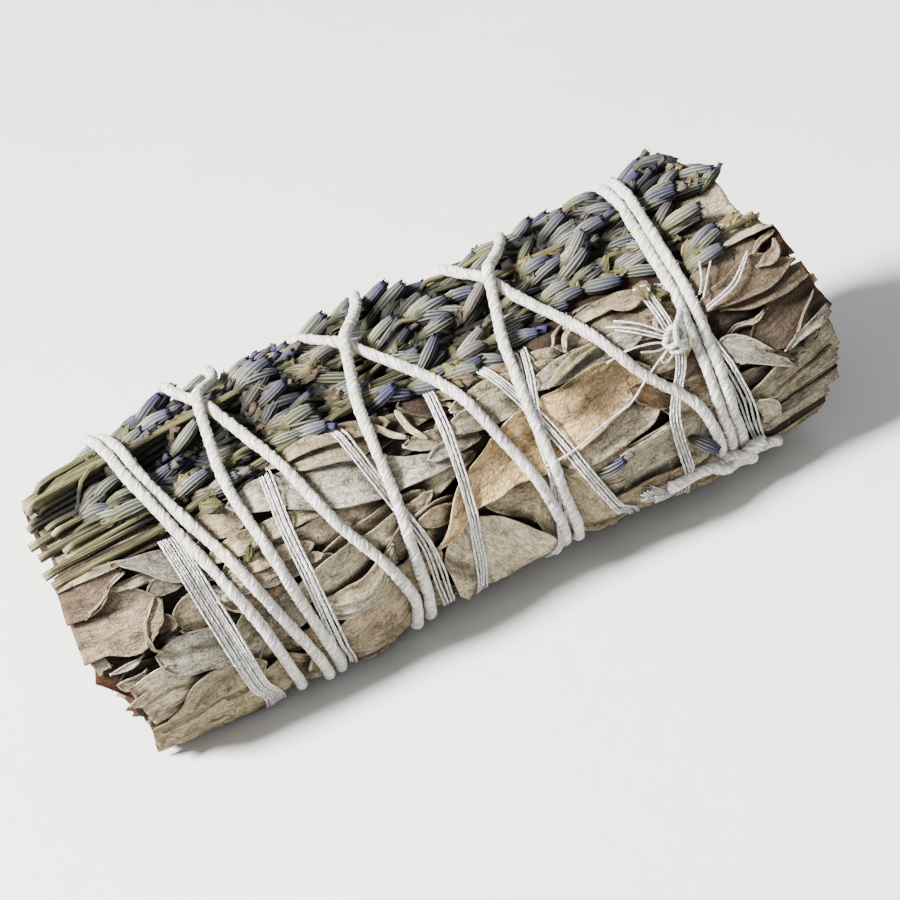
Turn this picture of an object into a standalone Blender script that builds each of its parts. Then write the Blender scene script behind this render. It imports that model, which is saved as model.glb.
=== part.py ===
"""Sage smudge stick: a bundle of dried white sage with lavender sprigs laid along its top.

The bundle lies along X, on a flat facet at z = 0. Inside are six sage sprigs and two wrap leaves. Outside
are overlapping sage leaves. Cotton thread binds the sage, the lavender lies on it, and cotton twine holds
the lavender. Lengths below are in millimetres. A place on the bundle is (x, angle): the angle runs round the
bundle's axis in degrees, 0 at the front (-Y), 90 at the top, 180 at the back and -90 at the bottom.
"""

import math

import bpy
import bmesh
import numpy as np
from mathutils import Vector

MM = 0.001

# Driving dimensions
BUNDLE_RADIUS = 19.6
AXIS_HEIGHT = 18.3
GAP = 0.3
LEAF_THICKNESS = 0.9
LAYER_PITCH = LEAF_THICKNESS + 0.4
BASE_LEAF_THICKNESS = 4.3
TWINE_RADIUS = 0.8
THREAD_WIDTH = 2.0
THREAD_THICKNESS = 0.4
FLOOR_CLEARANCE = 0.25

# The sector under the lavender, where the leaves lie one layer deeper, and the slope at each side of it
LAVENDER_SECTOR = (47.0, 143.0)
SECTOR_SLOPE = 12.0

# Lavender: sprigs side by side, all leaning the same way along the bundle
SPRIG_FIRST_ANGLE = 54.5
SPRIG_PITCH_ANGLE = 9.0
SPRIG_LEAN_ANGLE = 4.0
SPRIG_AXIS_RADIUS = 21.05
STEM_RADIUS = 0.6
WHORL_RADIUS = 1.48
WHORL_LENGTH = 5.2

# Inner sprigs
CORE_REACH = 11.8
RING_SPRIGS = 5
CENTRE_SPRIG_RADIUS = 3.3

# Points of a binding in each turn between its two corners at the floor, and the step it is settled in
ROUTE_STEPS = 24
FINE_STEP = 2.0
CHORD_SAG = 0.12
TURN = 360.0

# name: (centreline places, width, start, end). An end is "cut", full width, or "tip", pointed.
# Later leaves lie over earlier ones.
OUTER_LEAVES = {
    "leaf_top_left": (((-55, 80), (-4, 84)), 11, "cut", "tip"),
    "leaf_top_middle": (((-30, 112), (26, 110)), 12, "tip", "tip"),
    "leaf_top_front": (((2, 72), (44, 70)), 9, "tip", "tip"),
    "leaf_top_right": (((35, 92), (54, 90)), 13, "tip", "cut"),
    "leaf_top_back": (((-55, 128), (-20, 131)), 8, "cut", "tip"),
    "leaf_back_high_left": (((-56, 152), (-2, 149)), 10, "cut", "tip"),
    "leaf_back_high_right": (((2, 150), (56, 153)), 11, "tip", "cut"),
    "leaf_back_low_left": (((-54, 214), (-8, 215)), 9, "cut", "tip"),
    "leaf_back_low_right": (((-4, 215), (55, 214)), 9, "tip", "cut"),
    "leaf_back_middle_left": (((-55, 182), (-4, 186)), 12, "cut", "tip"),
    "leaf_back_middle_right": (((-8, 190), (56, 184)), 12, "tip", "cut"),
    "leaf_back_over": (((-34, 206), (-4, 196), (26, 168)), 10, "tip", "tip"),
    "leaf_left_high": (((-56.5, 52), (-38, 53)), 5, "cut", "tip"),
    "leaf_left_wide": (((-56, 32), (-40, 31)), 10, "cut", "tip"),
    "leaf_left_bottom": (((-53, -39), (-30, -39)), 8, "cut", "tip"),
    "leaf_left_low": (((-54, -11), (-34, -13)), 11, "cut", "tip"),
    "leaf_left_curled": (((-46, 34), (-48.5, 20), (-44, 8), (-35, 2)), 4.5, "tip", "tip"),
    "leaf_left_pointed": (((-48.5, 53), (-40, 47), (-28, 44)), 5.5, "tip", "tip"),
    "leaf_middle_under": (((-34, 38), (-20, 29), (4, 25)), 6.5, "tip", "tip"),
    "leaf_middle_grey": (((-26, 53), (-12, 43), (7, 30)), 8, "tip", "tip"),
    "leaf_middle_slant": (((-31, -2), (-18, 4), (-5, 15)), 5.5, "tip", "tip"),
    "leaf_middle_low": (((-31, -24), (-19, -18), (-9, -4)), 7, "tip", "tip"),
    "leaf_low_square": (((-5, 8), (-5, -20), (-4, -46)), 8.5, "tip", "cut"),
    "leaf_low_round": (((1, 5), (5, -18), (13, -37)), 9, "tip", "cut"),
    "leaf_right_low": (((12, -32), (25, -33), (38, -34)), 8, "tip", "tip"),
    "leaf_right_middle": (((9, -4), (24, -4), (39, -9)), 8, "tip", "tip"),
    "leaf_right_crumpled": (((10, 47), (26, 49), (39, 46)), 9, "tip", "tip"),
    "leaf_golden": (((-7, 1), (2, 15), (14, 22), (30, 25)), 8.5, "tip", "tip"),
    "leaf_end_bottom": (((41, -32), (55, -30)), 8, "tip", "cut"),
    "leaf_end_low": (((41, -8), (56, -2)), 7, "tip", "cut"),
    "leaf_end_middle": (((41, 12), (57, 22)), 7, "tip", "cut"),
    "leaf_end_high": (((38, 44), (57, 39)), 5.5, "tip", "cut"),
    "leaf_end_narrow": (((38, 28), (49.5, 2)), 3.6, "tip", "tip"),
}

# name: (angles of its outer surface's stations, first x, last x)
BASE_LEAVES = {
    "base_leaf_front": ((-77.6, -69, -60.8, -52.6), -53, 50),
    "base_leaf_middle": ((-102, -94, -86, -78), -44, 44),
    "base_leaf_back": ((-127.4, -119.2, -111, -102.4), -50, 53),
}

WRAP_LEAVES = {
    "wrap_leaf_front": (-86.0, 88.0, -54, 40),
    "wrap_leaf_back": (94.0, 268.0, -40, 54),
}

# Sprigs from the front to the back: (first x, x of each whorl's base). The spike ends at the last whorl.
LAVENDER_SPRIGS = (
    (-56.0, (-8, -1, 5.5, 11)),
    (-56.5, (-37, 14, 20, 26, 32)),
    (-56.0, (-46, -21, 3, 9, 36, 41.5)),
    (-56.5, (-49, -34, 15, 21, 27)),
    (-55.5, (-29, -22, -8, 22, 31, 40)),
    (-55.0, (-41, -12, -4, 2, 14)),
    (-54.5, (-36, -24, -18, 8, 27, 33)),
    (-54.5, (-46, -14, -7, 18, 24, 44)),
    (-54.0, (-40, -28, 2, 12, 36, 41)),
    (-53.5, (-48, -18, -10, 20, 30)),
)

# The twine's passes up the front, in winding order: x at each of these angles. It runs left five times,
# then back to the right five times over the first ones.
TWINE_ANGLES = (-48, -30, 0, 30, 60, 90, 120)
TWINE_PASSES = (
    (36.4, 36.6, 35.0, 27.9, 21.6, 15.6, 11.0),
    (11.3, 10.9, 9.5, 6.5, 1.6, -5.4, -12.8),
    (-12.9, -12.6, -14.6, -19.4, -23.8, -27.2, -31.0),
    (-27.9, -28.6, -31.0, -33.6, -37.2, -40.0, -41.2),
    (-31.6, -32.4, -33.9, -36.6, -39.4, -41.9, -43.2),
    (-24.8, -25.6, -27.4, -29.0, -30.0, -28.4, -23.4),
    (-10.6, -10.5, -10.9, -10.1, -9.2, -6.2, 0.0),
    (13.6, 13.0, 11.9, 11.9, 13.2, 16.6, 23.0),
    (38.4, 38.6, 37.4, 37.6, 38.0, 38.6, 39.8),
    (40.6, 40.6, 39.6, 39.7, 40.1, 40.7, 41.8),
)
TWINE_START_ANGLE = -36.0
TWINE_END = (304.0, 42.9)
TWINE_LAST_BACK = (180.0, 43.0)
TWINE_KNOT = ((24, -24), (30, -31), (35.5, -37), (38.8, -39), (41.5, -38), (40.0, -45), (36.0, -47))
TWINE_KNOT_SWELL = 1.7

# The thread's passes, wound under the lavender before the twine
THREAD_ANGLES = (-48, -30, 0, 30, 60, 90, 120)
THREAD_PASSES = (
    (46.4, 42.6, 41.4, 39.4, 37.8, 36.0, 34.5),
    (22.6, 20.0, 16.0, 12.9, 8.8, 7.0, 5.8),
    (-7.6, -8.0, -8.6, -11.0, -13.2, -15.0, -16.4),
    (-35.8, -37.3, -38.6, -39.7, -40.5, -41.0, -41.0),
    (-21.6, -23.6, -25.5, -25.6, -24.6, -23.4, -22.2),
    (-2.6, -2.1, -1.6, -0.3, 0.8, 1.8, 2.4),
    (8.2, 9.8, 11.2, 12.4, 15.4, 17.0, 19.0),
    (30.4, 31.0, 31.8, 33.6, 34.9, 34.6, 34.4),
)
THREAD_END_ANGLE = 62.0
THREAD_KNOT = ((29.4, 46), (32, 40), (34.2, 34), (33.4, 28))
THREAD_KNOT_SWELL = 2.6
THREAD_TAIL_RADIUS = 0.4

# The passes move along the bundle between these angles of the back. Below, they run straight, in grooves.
BACK_START = 145.0
BACK_END = 228.0
GROOVE_HALF_LENGTH = 15.0

COLOURS = {
    "sage_leaf": ((0.42, 0.38, 0.31, 1), 0.9),
    "sage_leaf_tan": ((0.42, 0.27, 0.14, 1), 0.9),
    "sage_stem": ((0.25, 0.17, 0.10, 1), 0.9),
    "lavender": ((0.22, 0.23, 0.30, 1), 0.85),
    "cotton_twine": ((0.85, 0.84, 0.80, 1), 0.95),
    "cotton_thread": ((0.88, 0.88, 0.86, 1), 0.8),
}


def clear_scene():
    for obj in list(bpy.data.objects):
        bpy.data.objects.remove(obj)


def material(name):
    made = bpy.data.materials.get(name)
    if made is None:
        made = bpy.data.materials.new(name)
        made.use_nodes = True
        shader = made.node_tree.nodes["Principled BSDF"]
        colour, roughness = COLOURS[name]
        shader.inputs["Base Color"].default_value = colour
        shader.inputs["Roughness"].default_value = roughness
        shader.inputs["Metallic"].default_value = 0.0
        made.diffuse_color = colour
    return made


def collection(name, hidden=False):
    made = bpy.data.collections.new(name)
    bpy.context.scene.collection.children.link(made)
    made.hide_render = hidden
    return made


def add_object(name, data, slot, home):
    obj = bpy.data.objects.new(name, data)
    home.objects.link(obj)
    data.materials.append(material(slot))
    return obj


def place(x, angle, radius):
    """The point at (x, angle) and this radius from the bundle's axis, in metres."""
    turn = math.radians(angle)
    return Vector((x, -radius * math.cos(turn), AXIS_HEIGHT + radius * math.sin(turn))) * MM


def above(height, angle, radius):
    """The radius, shortened where the point would be lower than this height."""
    drop = -math.sin(math.radians(angle))
    if drop * radius > AXIS_HEIGHT - height:
        return (AXIS_HEIGHT - height) / drop
    return radius


def smooth_step(value):
    t = min(1.0, max(0.0, value))
    return t * t * (3 - 2 * t)


def slope_at(knots, i):
    """The curve's slope at a knot: none where the values turn, so the curve never overshoots a knot."""
    near = knots[max(i - 1, 0) : i + 2]
    steps = [(b[1] - a[1]) / (b[0] - a[0]) for a, b in zip(near, near[1:])]
    if len(steps) == 1:
        return steps[0]
    if steps[0] * steps[1] <= 0:
        return 0.0
    return 2 * steps[0] * steps[1] / (steps[0] + steps[1])


def curve_through(knots, at):
    """A smooth curve through (position, value) knots, read at the position."""
    positions = [k[0] for k in knots]
    i = min(max(np.searchsorted(positions, at) - 1, 0), len(knots) - 2)
    start, end = knots[i], knots[i + 1]
    span = end[0] - start[0]
    t = min(1.0, max(0.0, (at - start[0]) / span))
    return (
        (2 * t**3 - 3 * t**2 + 1) * start[1]
        + (t**3 - 2 * t**2 + t) * span * slope_at(knots, i)
        + (3 * t**2 - 2 * t**3) * end[1]
        + (t**3 - t**2) * span * slope_at(knots, i + 1)
    )


# ---------------------------------------------------------------- sheets, such as leaves and the thread


def sheet_object(name, rows, thickness, slot, home):
    """A sheet through rows of points on its outer side, thickened inwards."""
    mesh = bmesh.new()
    grid = [[mesh.verts.new(p) for p in row] for row in rows]
    for near, far in zip(grid, grid[1:]):
        for i in range(len(near) - 1):
            mesh.faces.new((near[i], near[i + 1], far[i + 1], far[i]))
    centre = Vector((0, 0, AXIS_HEIGHT * MM))
    face = mesh.faces[:][0]
    outward = face.calc_center_median() - centre
    outward.x = 0
    face.normal_update()
    if face.normal.dot(outward) < 0:
        bmesh.ops.reverse_faces(mesh, faces=mesh.faces)
    data = bpy.data.meshes.new(name)
    mesh.to_mesh(data)
    mesh.free()
    obj = add_object(name, data, slot, home)
    solid = obj.modifiers.new("thickness", "SOLIDIFY")
    solid.thickness = thickness * MM
    solid.offset = -1
    solid.use_even_offset = True
    return obj


# ---------------------------------------------------------------- outer leaves

LEAF_STATIONS = 7
LEAF_ACROSS = 4
TIP_SHARE = 0.38
TIP_HALF_WIDTH = 0.7


def arc(angle):
    return math.radians(angle) * BUNDLE_RADIUS


def leaf_centreline(places, count):
    """Points along the leaf's middle, as (x, arc length round the bundle)."""
    flat = [(x, arc(angle)) for x, angle in places]
    lengths = [0.0]
    for a, b in zip(flat, flat[1:]):
        lengths.append(lengths[-1] + math.dist(a, b))
    along = [lengths[-1] * i / (count - 1) for i in range(count)]
    xs = list(zip(lengths, (p[0] for p in flat)))
    arcs = list(zip(lengths, (p[1] for p in flat)))
    return [(curve_through(xs, s), curve_through(arcs, s)) for s in along]


def taper(share, end):
    if end == "cut" or share > TIP_SHARE:
        return 1.0
    return math.sqrt(max(0.0, 1 - (1 - share / TIP_SHARE) ** 2))


def leaf_rows(leaf, stations, across):
    """The leaf's outline as rows of (x, arc length) points, one row a station."""
    places, width, start, end = leaf
    middle = leaf_centreline(places, stations)
    rows = []
    for i, (x, s) in enumerate(middle):
        before = middle[max(i - 1, 0)]
        after = middle[min(i + 1, stations - 1)]
        dx, ds = after[0] - before[0], after[1] - before[1]
        length = math.hypot(dx, ds)
        u = i / (stations - 1)
        half = max(TIP_HALF_WIDTH, width / 2 * taper(u, start) * taper(1 - u, end))
        offsets = [half * (2 * j / across - 1) for j in range(across + 1)]
        rows.append([(x - ds / length * o, s + dx / length * o) for o in offsets])
    return rows


def cells(leaf):
    """The 1 mm cells of the bundle's unrolled surface that the leaf covers, with a margin."""
    around = round(2 * math.pi * BUNDLE_RADIUS)
    covered = set()
    for row in leaf_rows(leaf, 61, 24):
        for x, s in row:
            for dx in (-0.4, 0.4):
                for ds in (-0.4, 0.4):
                    covered.add((round(x + dx), round(s + ds) % around))
    return covered


def leaf_layers():
    """The layer each leaf lies in, 0 outermost: the first that no leaf overlapping it has taken."""
    names = list(OUTER_LEAVES)
    covered = {n: cells(OUTER_LEAVES[n]) for n in names}
    layers = {}
    for name in reversed(names):
        taken = {layers[n] for n in layers if covered[n] & covered[name]}
        under = any(in_sector(math.degrees(s / BUNDLE_RADIUS)) > 0.2 for _, s in covered[name])
        layer = 1 if under else 0
        while layer in taken:
            layer += 1
        layers[name] = layer
    return layers


def make_outer_leaves(home):
    layers = leaf_layers()
    for name, leaf in OUTER_LEAVES.items():
        radius = BUNDLE_RADIUS - layers[name] * LAYER_PITCH
        rows = [
            [place(x, math.degrees(s / BUNDLE_RADIUS), radius) for x, s in row]
            for row in leaf_rows(leaf, LEAF_STATIONS, LEAF_ACROSS)
        ]
        slot = "sage_leaf_tan" if name == "leaf_golden" else "sage_leaf"
        sheet_object(name, rows, LEAF_THICKNESS, slot, home)


# ---------------------------------------------------------------- base, wrap and inner pieces

BASE_STATIONS = 3


def make_base_leaves(home, cutter):
    """Folded leaves pressed flat where the bundle rests, with grooves that the bindings lie in."""
    for name, (angles, first, last) in BASE_LEAVES.items():
        rows = []
        for i in range(BASE_STATIONS):
            x = first + (last - first) * i / (BASE_STATIONS - 1)
            rows.append([place(x, a, above(0, a, BUNDLE_RADIUS)) for a in angles])
        obj = sheet_object(name, rows, BASE_LEAF_THICKNESS, "sage_leaf", home)
        grooves = obj.modifiers.new("grooves", "BOOLEAN")
        grooves.operation = "DIFFERENCE"
        grooves.object = cutter


def make_wrap_leaves(home):
    outer = CORE_REACH + GAP + LEAF_THICKNESS
    for name, (first_angle, last_angle, first, last) in WRAP_LEAVES.items():
        steps = 12
        angles = [first_angle + (last_angle - first_angle) * i / steps for i in range(steps + 1)]
        rows = [[place(x, a, outer) for a in angles] for x in (first, last)]
        sheet_object(name, rows, LEAF_THICKNESS, "sage_leaf", home)


def make_inner_sprigs(home):
    """One sprig in the middle and a ring round it, each a stem with its leaves pressed round it."""
    ring_radius = (CORE_REACH - CENTRE_SPRIG_RADIUS - GAP) / 2
    ring_centre = CENTRE_SPRIG_RADIUS + GAP + ring_radius
    ring_radius = min(ring_radius, ring_centre * math.sin(math.pi / RING_SPRIGS) - GAP / 2)
    places = [(0.0, 0.0, CENTRE_SPRIG_RADIUS)]
    for i in range(RING_SPRIGS):
        places.append((ring_centre, 90 + i * TURN / RING_SPRIGS, ring_radius))
    for i, (offset, angle, radius) in enumerate(places):
        bpy.ops.mesh.primitive_cylinder_add(
            vertices=10, radius=radius * MM, depth=(108 - 2 * (i % 3)) * MM, location=place(0, angle, offset)
        )
        obj = bpy.context.object
        obj.name = f"inner_sprig_{i + 1}"
        obj.rotation_euler = (0, math.pi / 2, 0)
        obj.data.materials.append(material("sage_stem"))
        for owner in list(obj.users_collection):
            owner.objects.unlink(obj)
        home.objects.link(obj)


# ---------------------------------------------------------------- lavender


def sprig_profile(first, whorls):
    """(x, radius) down the sprig: a stem that swells into a whorl of flowers at each whorl's base."""
    profile = [(first, 0.0), (first, STEM_RADIUS)]
    for i, base in enumerate(whorls):
        joined = i + 1 < len(whorls) and whorls[i + 1] - base < WHORL_LENGTH + 2
        reach = whorls[i + 1] - base if joined else WHORL_LENGTH
        profile.append((base, STEM_RADIUS))
        profile.append((base + 0.32 * reach, WHORL_RADIUS))
        profile.append((base + 0.75 * reach, 0.85 * WHORL_RADIUS))
        if not joined:
            profile.append((base + reach, STEM_RADIUS))
    profile.append((profile[-1][0] + 0.5, 0.0))
    return profile


def make_lavender(home):
    for i, (first, whorls) in enumerate(LAVENDER_SPRIGS):
        name = f"lavender_sprig_{i + 1}"
        profile = sprig_profile(first, whorls)
        data = bpy.data.meshes.new(name)
        points = [(x * MM, 0, r * MM) for x, r in profile]
        data.from_pydata(points, [(k, k + 1) for k in range(len(points) - 1)], [])
        obj = add_object(name, data, "lavender", home)
        turned = obj.modifiers.new("turned", "SCREW")
        turned.axis = "X"
        turned.steps = turned.render_steps = 8
        turned.use_merge_vertices = True
        turned.merge_threshold = 0.00001
        turned.use_normal_calculate = True
        angle = SPRIG_FIRST_ANGLE + i * SPRIG_PITCH_ANGLE
        left = place(-55, angle - SPRIG_LEAN_ANGLE / 2, SPRIG_AXIS_RADIUS)
        right = place(55, angle + SPRIG_LEAN_ANGLE / 2, SPRIG_AXIS_RADIUS)
        direction = (right - left).normalized()
        obj.location = (left + right) / 2
        obj.rotation_mode = "QUATERNION"
        obj.rotation_quaternion = Vector((1, 0, 0)).rotation_difference(direction)


# ---------------------------------------------------------------- bindings


def route_knots(angles, passes):
    """(unwound angle, x) knots: up the front at each pass, then down the back to the next one's start."""
    knots = []
    for turn, xs in enumerate(passes):
        knots += [(TURN * turn + a, x) for a, x in zip(angles, xs)]
        if turn + 1 < len(passes):
            next_x = passes[turn + 1][0]
            knots.append((TURN * turn + BACK_START, xs[-1]))
            knots.append((TURN * turn + BACK_END, next_x))
    return knots


def in_sector(angle):
    """1 under the lavender, 0 clear of it, and between them on the slopes at its sides."""
    low, high = LAVENDER_SECTOR
    a = angle % TURN
    rising = smooth_step((a - low + SECTOR_SLOPE) / SECTOR_SLOPE)
    return rising * smooth_step((high + SECTOR_SLOPE - a) / SECTOR_SLOPE)


def surface_radius(angle, under_lavender):
    """The radius of what a binding lies on at this angle: the leaves, or the lavender on them."""
    if under_lavender:
        return BUNDLE_RADIUS - LAYER_PITCH * in_sector(angle)
    on_lavender = SPRIG_AXIS_RADIUS + WHORL_RADIUS
    return BUNDLE_RADIUS + (on_lavender - BUNDLE_RADIUS) * in_sector(angle)


def route_angles(first, last, corner):
    """The angles of a binding's points: each turn's two corners, where it leaves the floor, and between."""
    step = (TURN - 2 * corner) / ROUTE_STEPS
    angles = []
    turn = math.floor((first + 90) / TURN)
    while TURN * turn - 90 < last:
        angles += [TURN * turn - 90 + corner + step * i for i in range(ROUTE_STEPS + 1)]
        turn += 1
    inside = [a for a in angles if first + step / 3 < a < last - step / 3]
    return [first] + inside + [last]


def over_laid(x, angle, half_width, laid, lowest):
    """The radius that the underside of a binding has at (x, angle), given what is laid there already."""
    if not len(laid):
        return lowest
    around = (laid[:, 1] - angle + TURN / 2) % TURN - TURN / 2
    apart = np.hypot(laid[:, 0] - x, np.radians(around) * BUNDLE_RADIUS)
    close = apart < half_width + laid[:, 3] + GAP
    return max(lowest, laid[close, 2].max() + GAP) if close.any() else lowest


def chord_radius(start, end, angle):
    """The radius at this angle of the straight line between two (angle, radius) points."""
    whole = math.radians(end[0] - start[0])
    part = math.radians(angle - start[0])
    return start[1] * end[1] * math.sin(whole) / (start[1] * math.sin(part) + end[1] * math.sin(whole - part))


def pull_tight(stations, fine, needed):
    """The radius at each station, just large enough that the lines between stations clear what is needed."""
    radii = [float(np.interp(a, fine, needed)) for a in stations]
    for _ in range(12):
        for i in range(len(stations) - 1):
            inside = (fine >= stations[i]) & (fine <= stations[i + 1])
            for a, r in zip(fine[inside], needed[inside]):
                start, end = (stations[i], radii[i]), (stations[i + 1], radii[i + 1])
                lack = r - CHORD_SAG - chord_radius(start, end, a)
                if lack > 0:
                    t = (a - stations[i]) / (stations[i + 1] - stations[i])
                    share = (1 - t) ** 2 + t**2
                    radii[i] += lack * (1 - t) / share
                    radii[i + 1] += lack * t / share
    return radii


def settle(knots, first, last, half_height, half_width, under_lavender, laid):
    """The binding's own points, as (x, angle, radius), lifted over whatever was laid before it.

    laid is a table of (x, unwound angle, top radius, half width) samples of the bindings already in place.
    The second value is the same table for this binding. Its own earlier turns count as laid too.
    """
    fine = np.arange(first, last + FINE_STEP / 2, FINE_STEP)
    fine_x = np.array([curve_through(knots, a) for a in fine])
    base = np.array([surface_radius(a, under_lavender) for a in fine]) + GAP
    bottom_radius = surface_radius(-90, under_lavender) + GAP + half_height
    corner = math.degrees(math.acos((AXIS_HEIGHT - FLOOR_CLEARANCE - half_height) / bottom_radius))
    stations = route_angles(first, last, corner)
    own = np.empty((0, 4))
    for _ in range(3):
        needed = []
        for a, x, lowest in zip(fine, fine_x, base):
            earlier = own[own[:, 1] < a - 0.6 * TURN]
            lowest = over_laid(x, a, half_width, laid, lowest)
            needed.append(over_laid(x, a, half_width, earlier, lowest) + half_height)
        radii = pull_tight(stations, fine, np.array(needed))
        tops = np.interp(fine, stations, radii) + half_height
        own = np.column_stack([fine_x, fine, tops, np.full(len(fine), half_width)])
    lowest = FLOOR_CLEARANCE + half_height
    points = [(curve_through(knots, a), a, above(lowest, a, r)) for a, r in zip(stations, radii)]
    return points, own


def tube(name, points, radius, slot, home, swells=None):
    curve = bpy.data.curves.new(name, "CURVE")
    curve.dimensions = "3D"
    curve.bevel_depth = radius * MM
    curve.bevel_resolution = 2
    curve.use_fill_caps = True
    spline = curve.splines.new("POLY")
    spline.points.add(len(points) - 1)
    for i, (x, angle, r) in enumerate(points):
        spline.points[i].co = (*place(x, angle, r), 1)
        spline.points[i].radius = swells[i] if swells else 1.0
    return add_object(name, curve, slot, home)


def make_thread(home):
    knots = route_knots(THREAD_ANGLES, THREAD_PASSES)
    last = TURN * (len(THREAD_PASSES) - 1) + THREAD_END_ANGLE
    points, laid = settle(
        knots, -54.0, last, THREAD_THICKNESS / 2, THREAD_WIDTH / 2, True, np.empty((0, 4))
    )
    rows = []
    for x, angle, radius in points:
        outer = above(FLOOR_CLEARANCE, angle, radius + THREAD_THICKNESS / 2)
        rows.append([place(x + side * THREAD_WIDTH / 2, angle, outer) for side in (-1, 1)])
    sheet_object("binding_thread", rows, THREAD_THICKNESS, "cotton_thread", home)
    return laid


def make_twine(home, laid):
    knots = route_knots(TWINE_ANGLES, TWINE_PASSES)
    last_turn = TURN * (len(TWINE_PASSES) - 1)
    knots.append((last_turn + TWINE_LAST_BACK[0], TWINE_LAST_BACK[1]))
    knots.append((last_turn + TWINE_END[0], TWINE_END[1]))
    last = last_turn + TWINE_END[0]
    points, own = settle(
        knots, TWINE_START_ANGLE, last, TWINE_RADIUS, TWINE_RADIUS, False, laid
    )
    tube("binding_twine", points, TWINE_RADIUS, "cotton_twine", home)
    return own


def make_knot(name, places, radius, swell, slot, laid, home):
    """A short tube that rests on the bindings below it and swells into the knot in its middle."""
    middle = len(places) // 2
    swells = [swell if i == middle else 1.0 for i in range(len(places))]
    reach = 2 * radius * swell
    lowest = surface_radius(places[0][1], False) + GAP
    top = max(over_laid(x, a, reach, laid, lowest) for x, a in places)
    points = [(x, a, above(FLOOR_CLEARANCE + radius, a, top + radius * swell)) for x, a in places]
    tube(name, points, radius, slot, home, swells)


def groove(mesh, x_low, x_high, top):
    """A box across the underside, from below it up to this height."""
    made = bmesh.ops.create_cube(mesh, size=1.0)
    for vert in made["verts"]:
        vert.co.x = (x_high if vert.co.x > 0 else x_low) * MM
        vert.co.y *= 2 * GROOVE_HALF_LENGTH * MM
        vert.co.z = (top if vert.co.z > 0 else -1.0) * MM


def make_groove_cutter(home):
    """One groove for each thread pass, and one for each group of neighbouring twine passes."""
    mesh = bmesh.new()
    side = THREAD_WIDTH / 2 + GAP + 0.1
    top = FLOOR_CLEARANCE + THREAD_THICKNESS + GAP
    for thread_pass in THREAD_PASSES:
        groove(mesh, thread_pass[0] - side, thread_pass[0] + side, top)
    side = TWINE_RADIUS + GAP + 0.1
    top = FLOOR_CLEARANCE + 2 * TWINE_RADIUS + GAP
    crossings = sorted([p[0] for p in TWINE_PASSES[1:]] + [TWINE_END[1]])
    low = high = crossings[0]
    for x in crossings[1:] + [float("inf")]:
        if x - high > 2 * side:
            groove(mesh, low - side, high + side, top)
            low = x
        high = x
    data = bpy.data.meshes.new("groove_cutter")
    mesh.to_mesh(data)
    mesh.free()
    obj = bpy.data.objects.new("groove_cutter", data)
    obj.hide_render = True
    obj.display_type = "WIRE"
    home.objects.link(obj)
    return obj


def centre(*collections):
    """Parents every object to an empty that puts the middle of the bundle's box over the origin."""
    bundle = bpy.data.objects.new("bundle", None)
    bpy.context.scene.collection.objects.link(bundle)
    for made in collections:
        for obj in made.objects:
            obj.parent = bundle
    bpy.context.view_layer.update()
    graph = bpy.context.evaluated_depsgraph_get()
    places = []
    for obj in collections[0].objects:
        shown = obj.evaluated_get(graph)
        places += [obj.matrix_world @ vert.co for vert in shown.to_mesh().vertices]
        shown.to_mesh_clear()
    for axis in (0, 1):
        values = [p[axis] for p in places]
        bundle.location[axis] = -(min(values) + max(values)) / 2


def main():
    clear_scene()
    home = collection("sage_smudge_stick")
    cutters = collection("cutters", hidden=True)
    make_inner_sprigs(home)
    make_wrap_leaves(home)
    make_base_leaves(home, make_groove_cutter(cutters))
    make_outer_leaves(home)
    make_lavender(home)
    laid = make_thread(home)
    make_knot("thread_knot", THREAD_KNOT, THREAD_TAIL_RADIUS, THREAD_KNOT_SWELL, "cotton_thread", laid, home)
    laid = np.vstack([laid, make_twine(home, laid)])
    make_knot("twine_knot", TWINE_KNOT, TWINE_RADIUS, TWINE_KNOT_SWELL, "cotton_twine", laid, home)
    centre(home, cutters)


main()
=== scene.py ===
"""Looks of the sage smudge stick: dried sage leaves, lavender sprigs, cotton thread and cotton twine.

Lengths are in millimetres until world() turns them into metres. A place on the bundle is (x, angle): the
angle runs round the bundle's axis in degrees, 0 at the front (-Y), 90 at the top and -90 at the bottom.
Leaves and flowers are laid one on another over a map of the surface, which holds its radius everywhere.
"""

import math

import bpy
import numpy as np
from mathutils import Matrix, Vector

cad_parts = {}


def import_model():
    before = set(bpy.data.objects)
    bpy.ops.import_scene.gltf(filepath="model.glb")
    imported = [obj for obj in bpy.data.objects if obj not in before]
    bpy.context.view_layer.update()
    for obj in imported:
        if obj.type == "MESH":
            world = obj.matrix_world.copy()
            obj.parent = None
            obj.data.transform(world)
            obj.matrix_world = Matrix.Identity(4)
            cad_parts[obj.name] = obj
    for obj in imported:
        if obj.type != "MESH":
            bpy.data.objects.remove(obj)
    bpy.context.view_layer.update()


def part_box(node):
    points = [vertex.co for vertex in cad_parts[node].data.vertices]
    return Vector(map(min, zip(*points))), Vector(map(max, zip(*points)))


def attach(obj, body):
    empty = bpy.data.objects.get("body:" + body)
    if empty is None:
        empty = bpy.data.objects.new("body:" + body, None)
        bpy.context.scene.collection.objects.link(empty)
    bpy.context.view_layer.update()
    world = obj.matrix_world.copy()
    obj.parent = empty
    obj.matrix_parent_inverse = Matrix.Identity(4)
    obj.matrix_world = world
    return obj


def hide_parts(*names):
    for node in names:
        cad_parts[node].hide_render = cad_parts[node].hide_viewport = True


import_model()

MM = 0.001
TURN = 360.0
# The bundle's mean radius, which arcs are measured on, and its axis's height above the floor
RADIUS = 19.6
AXIS_HEIGHT = 18.3
base_low, base_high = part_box("base_leaf_middle")
CENTRE_X = (base_low.x + base_high.x) / 2 / MM
CENTRE_Y = (base_low.y + base_high.y) / 2 / MM

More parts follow.
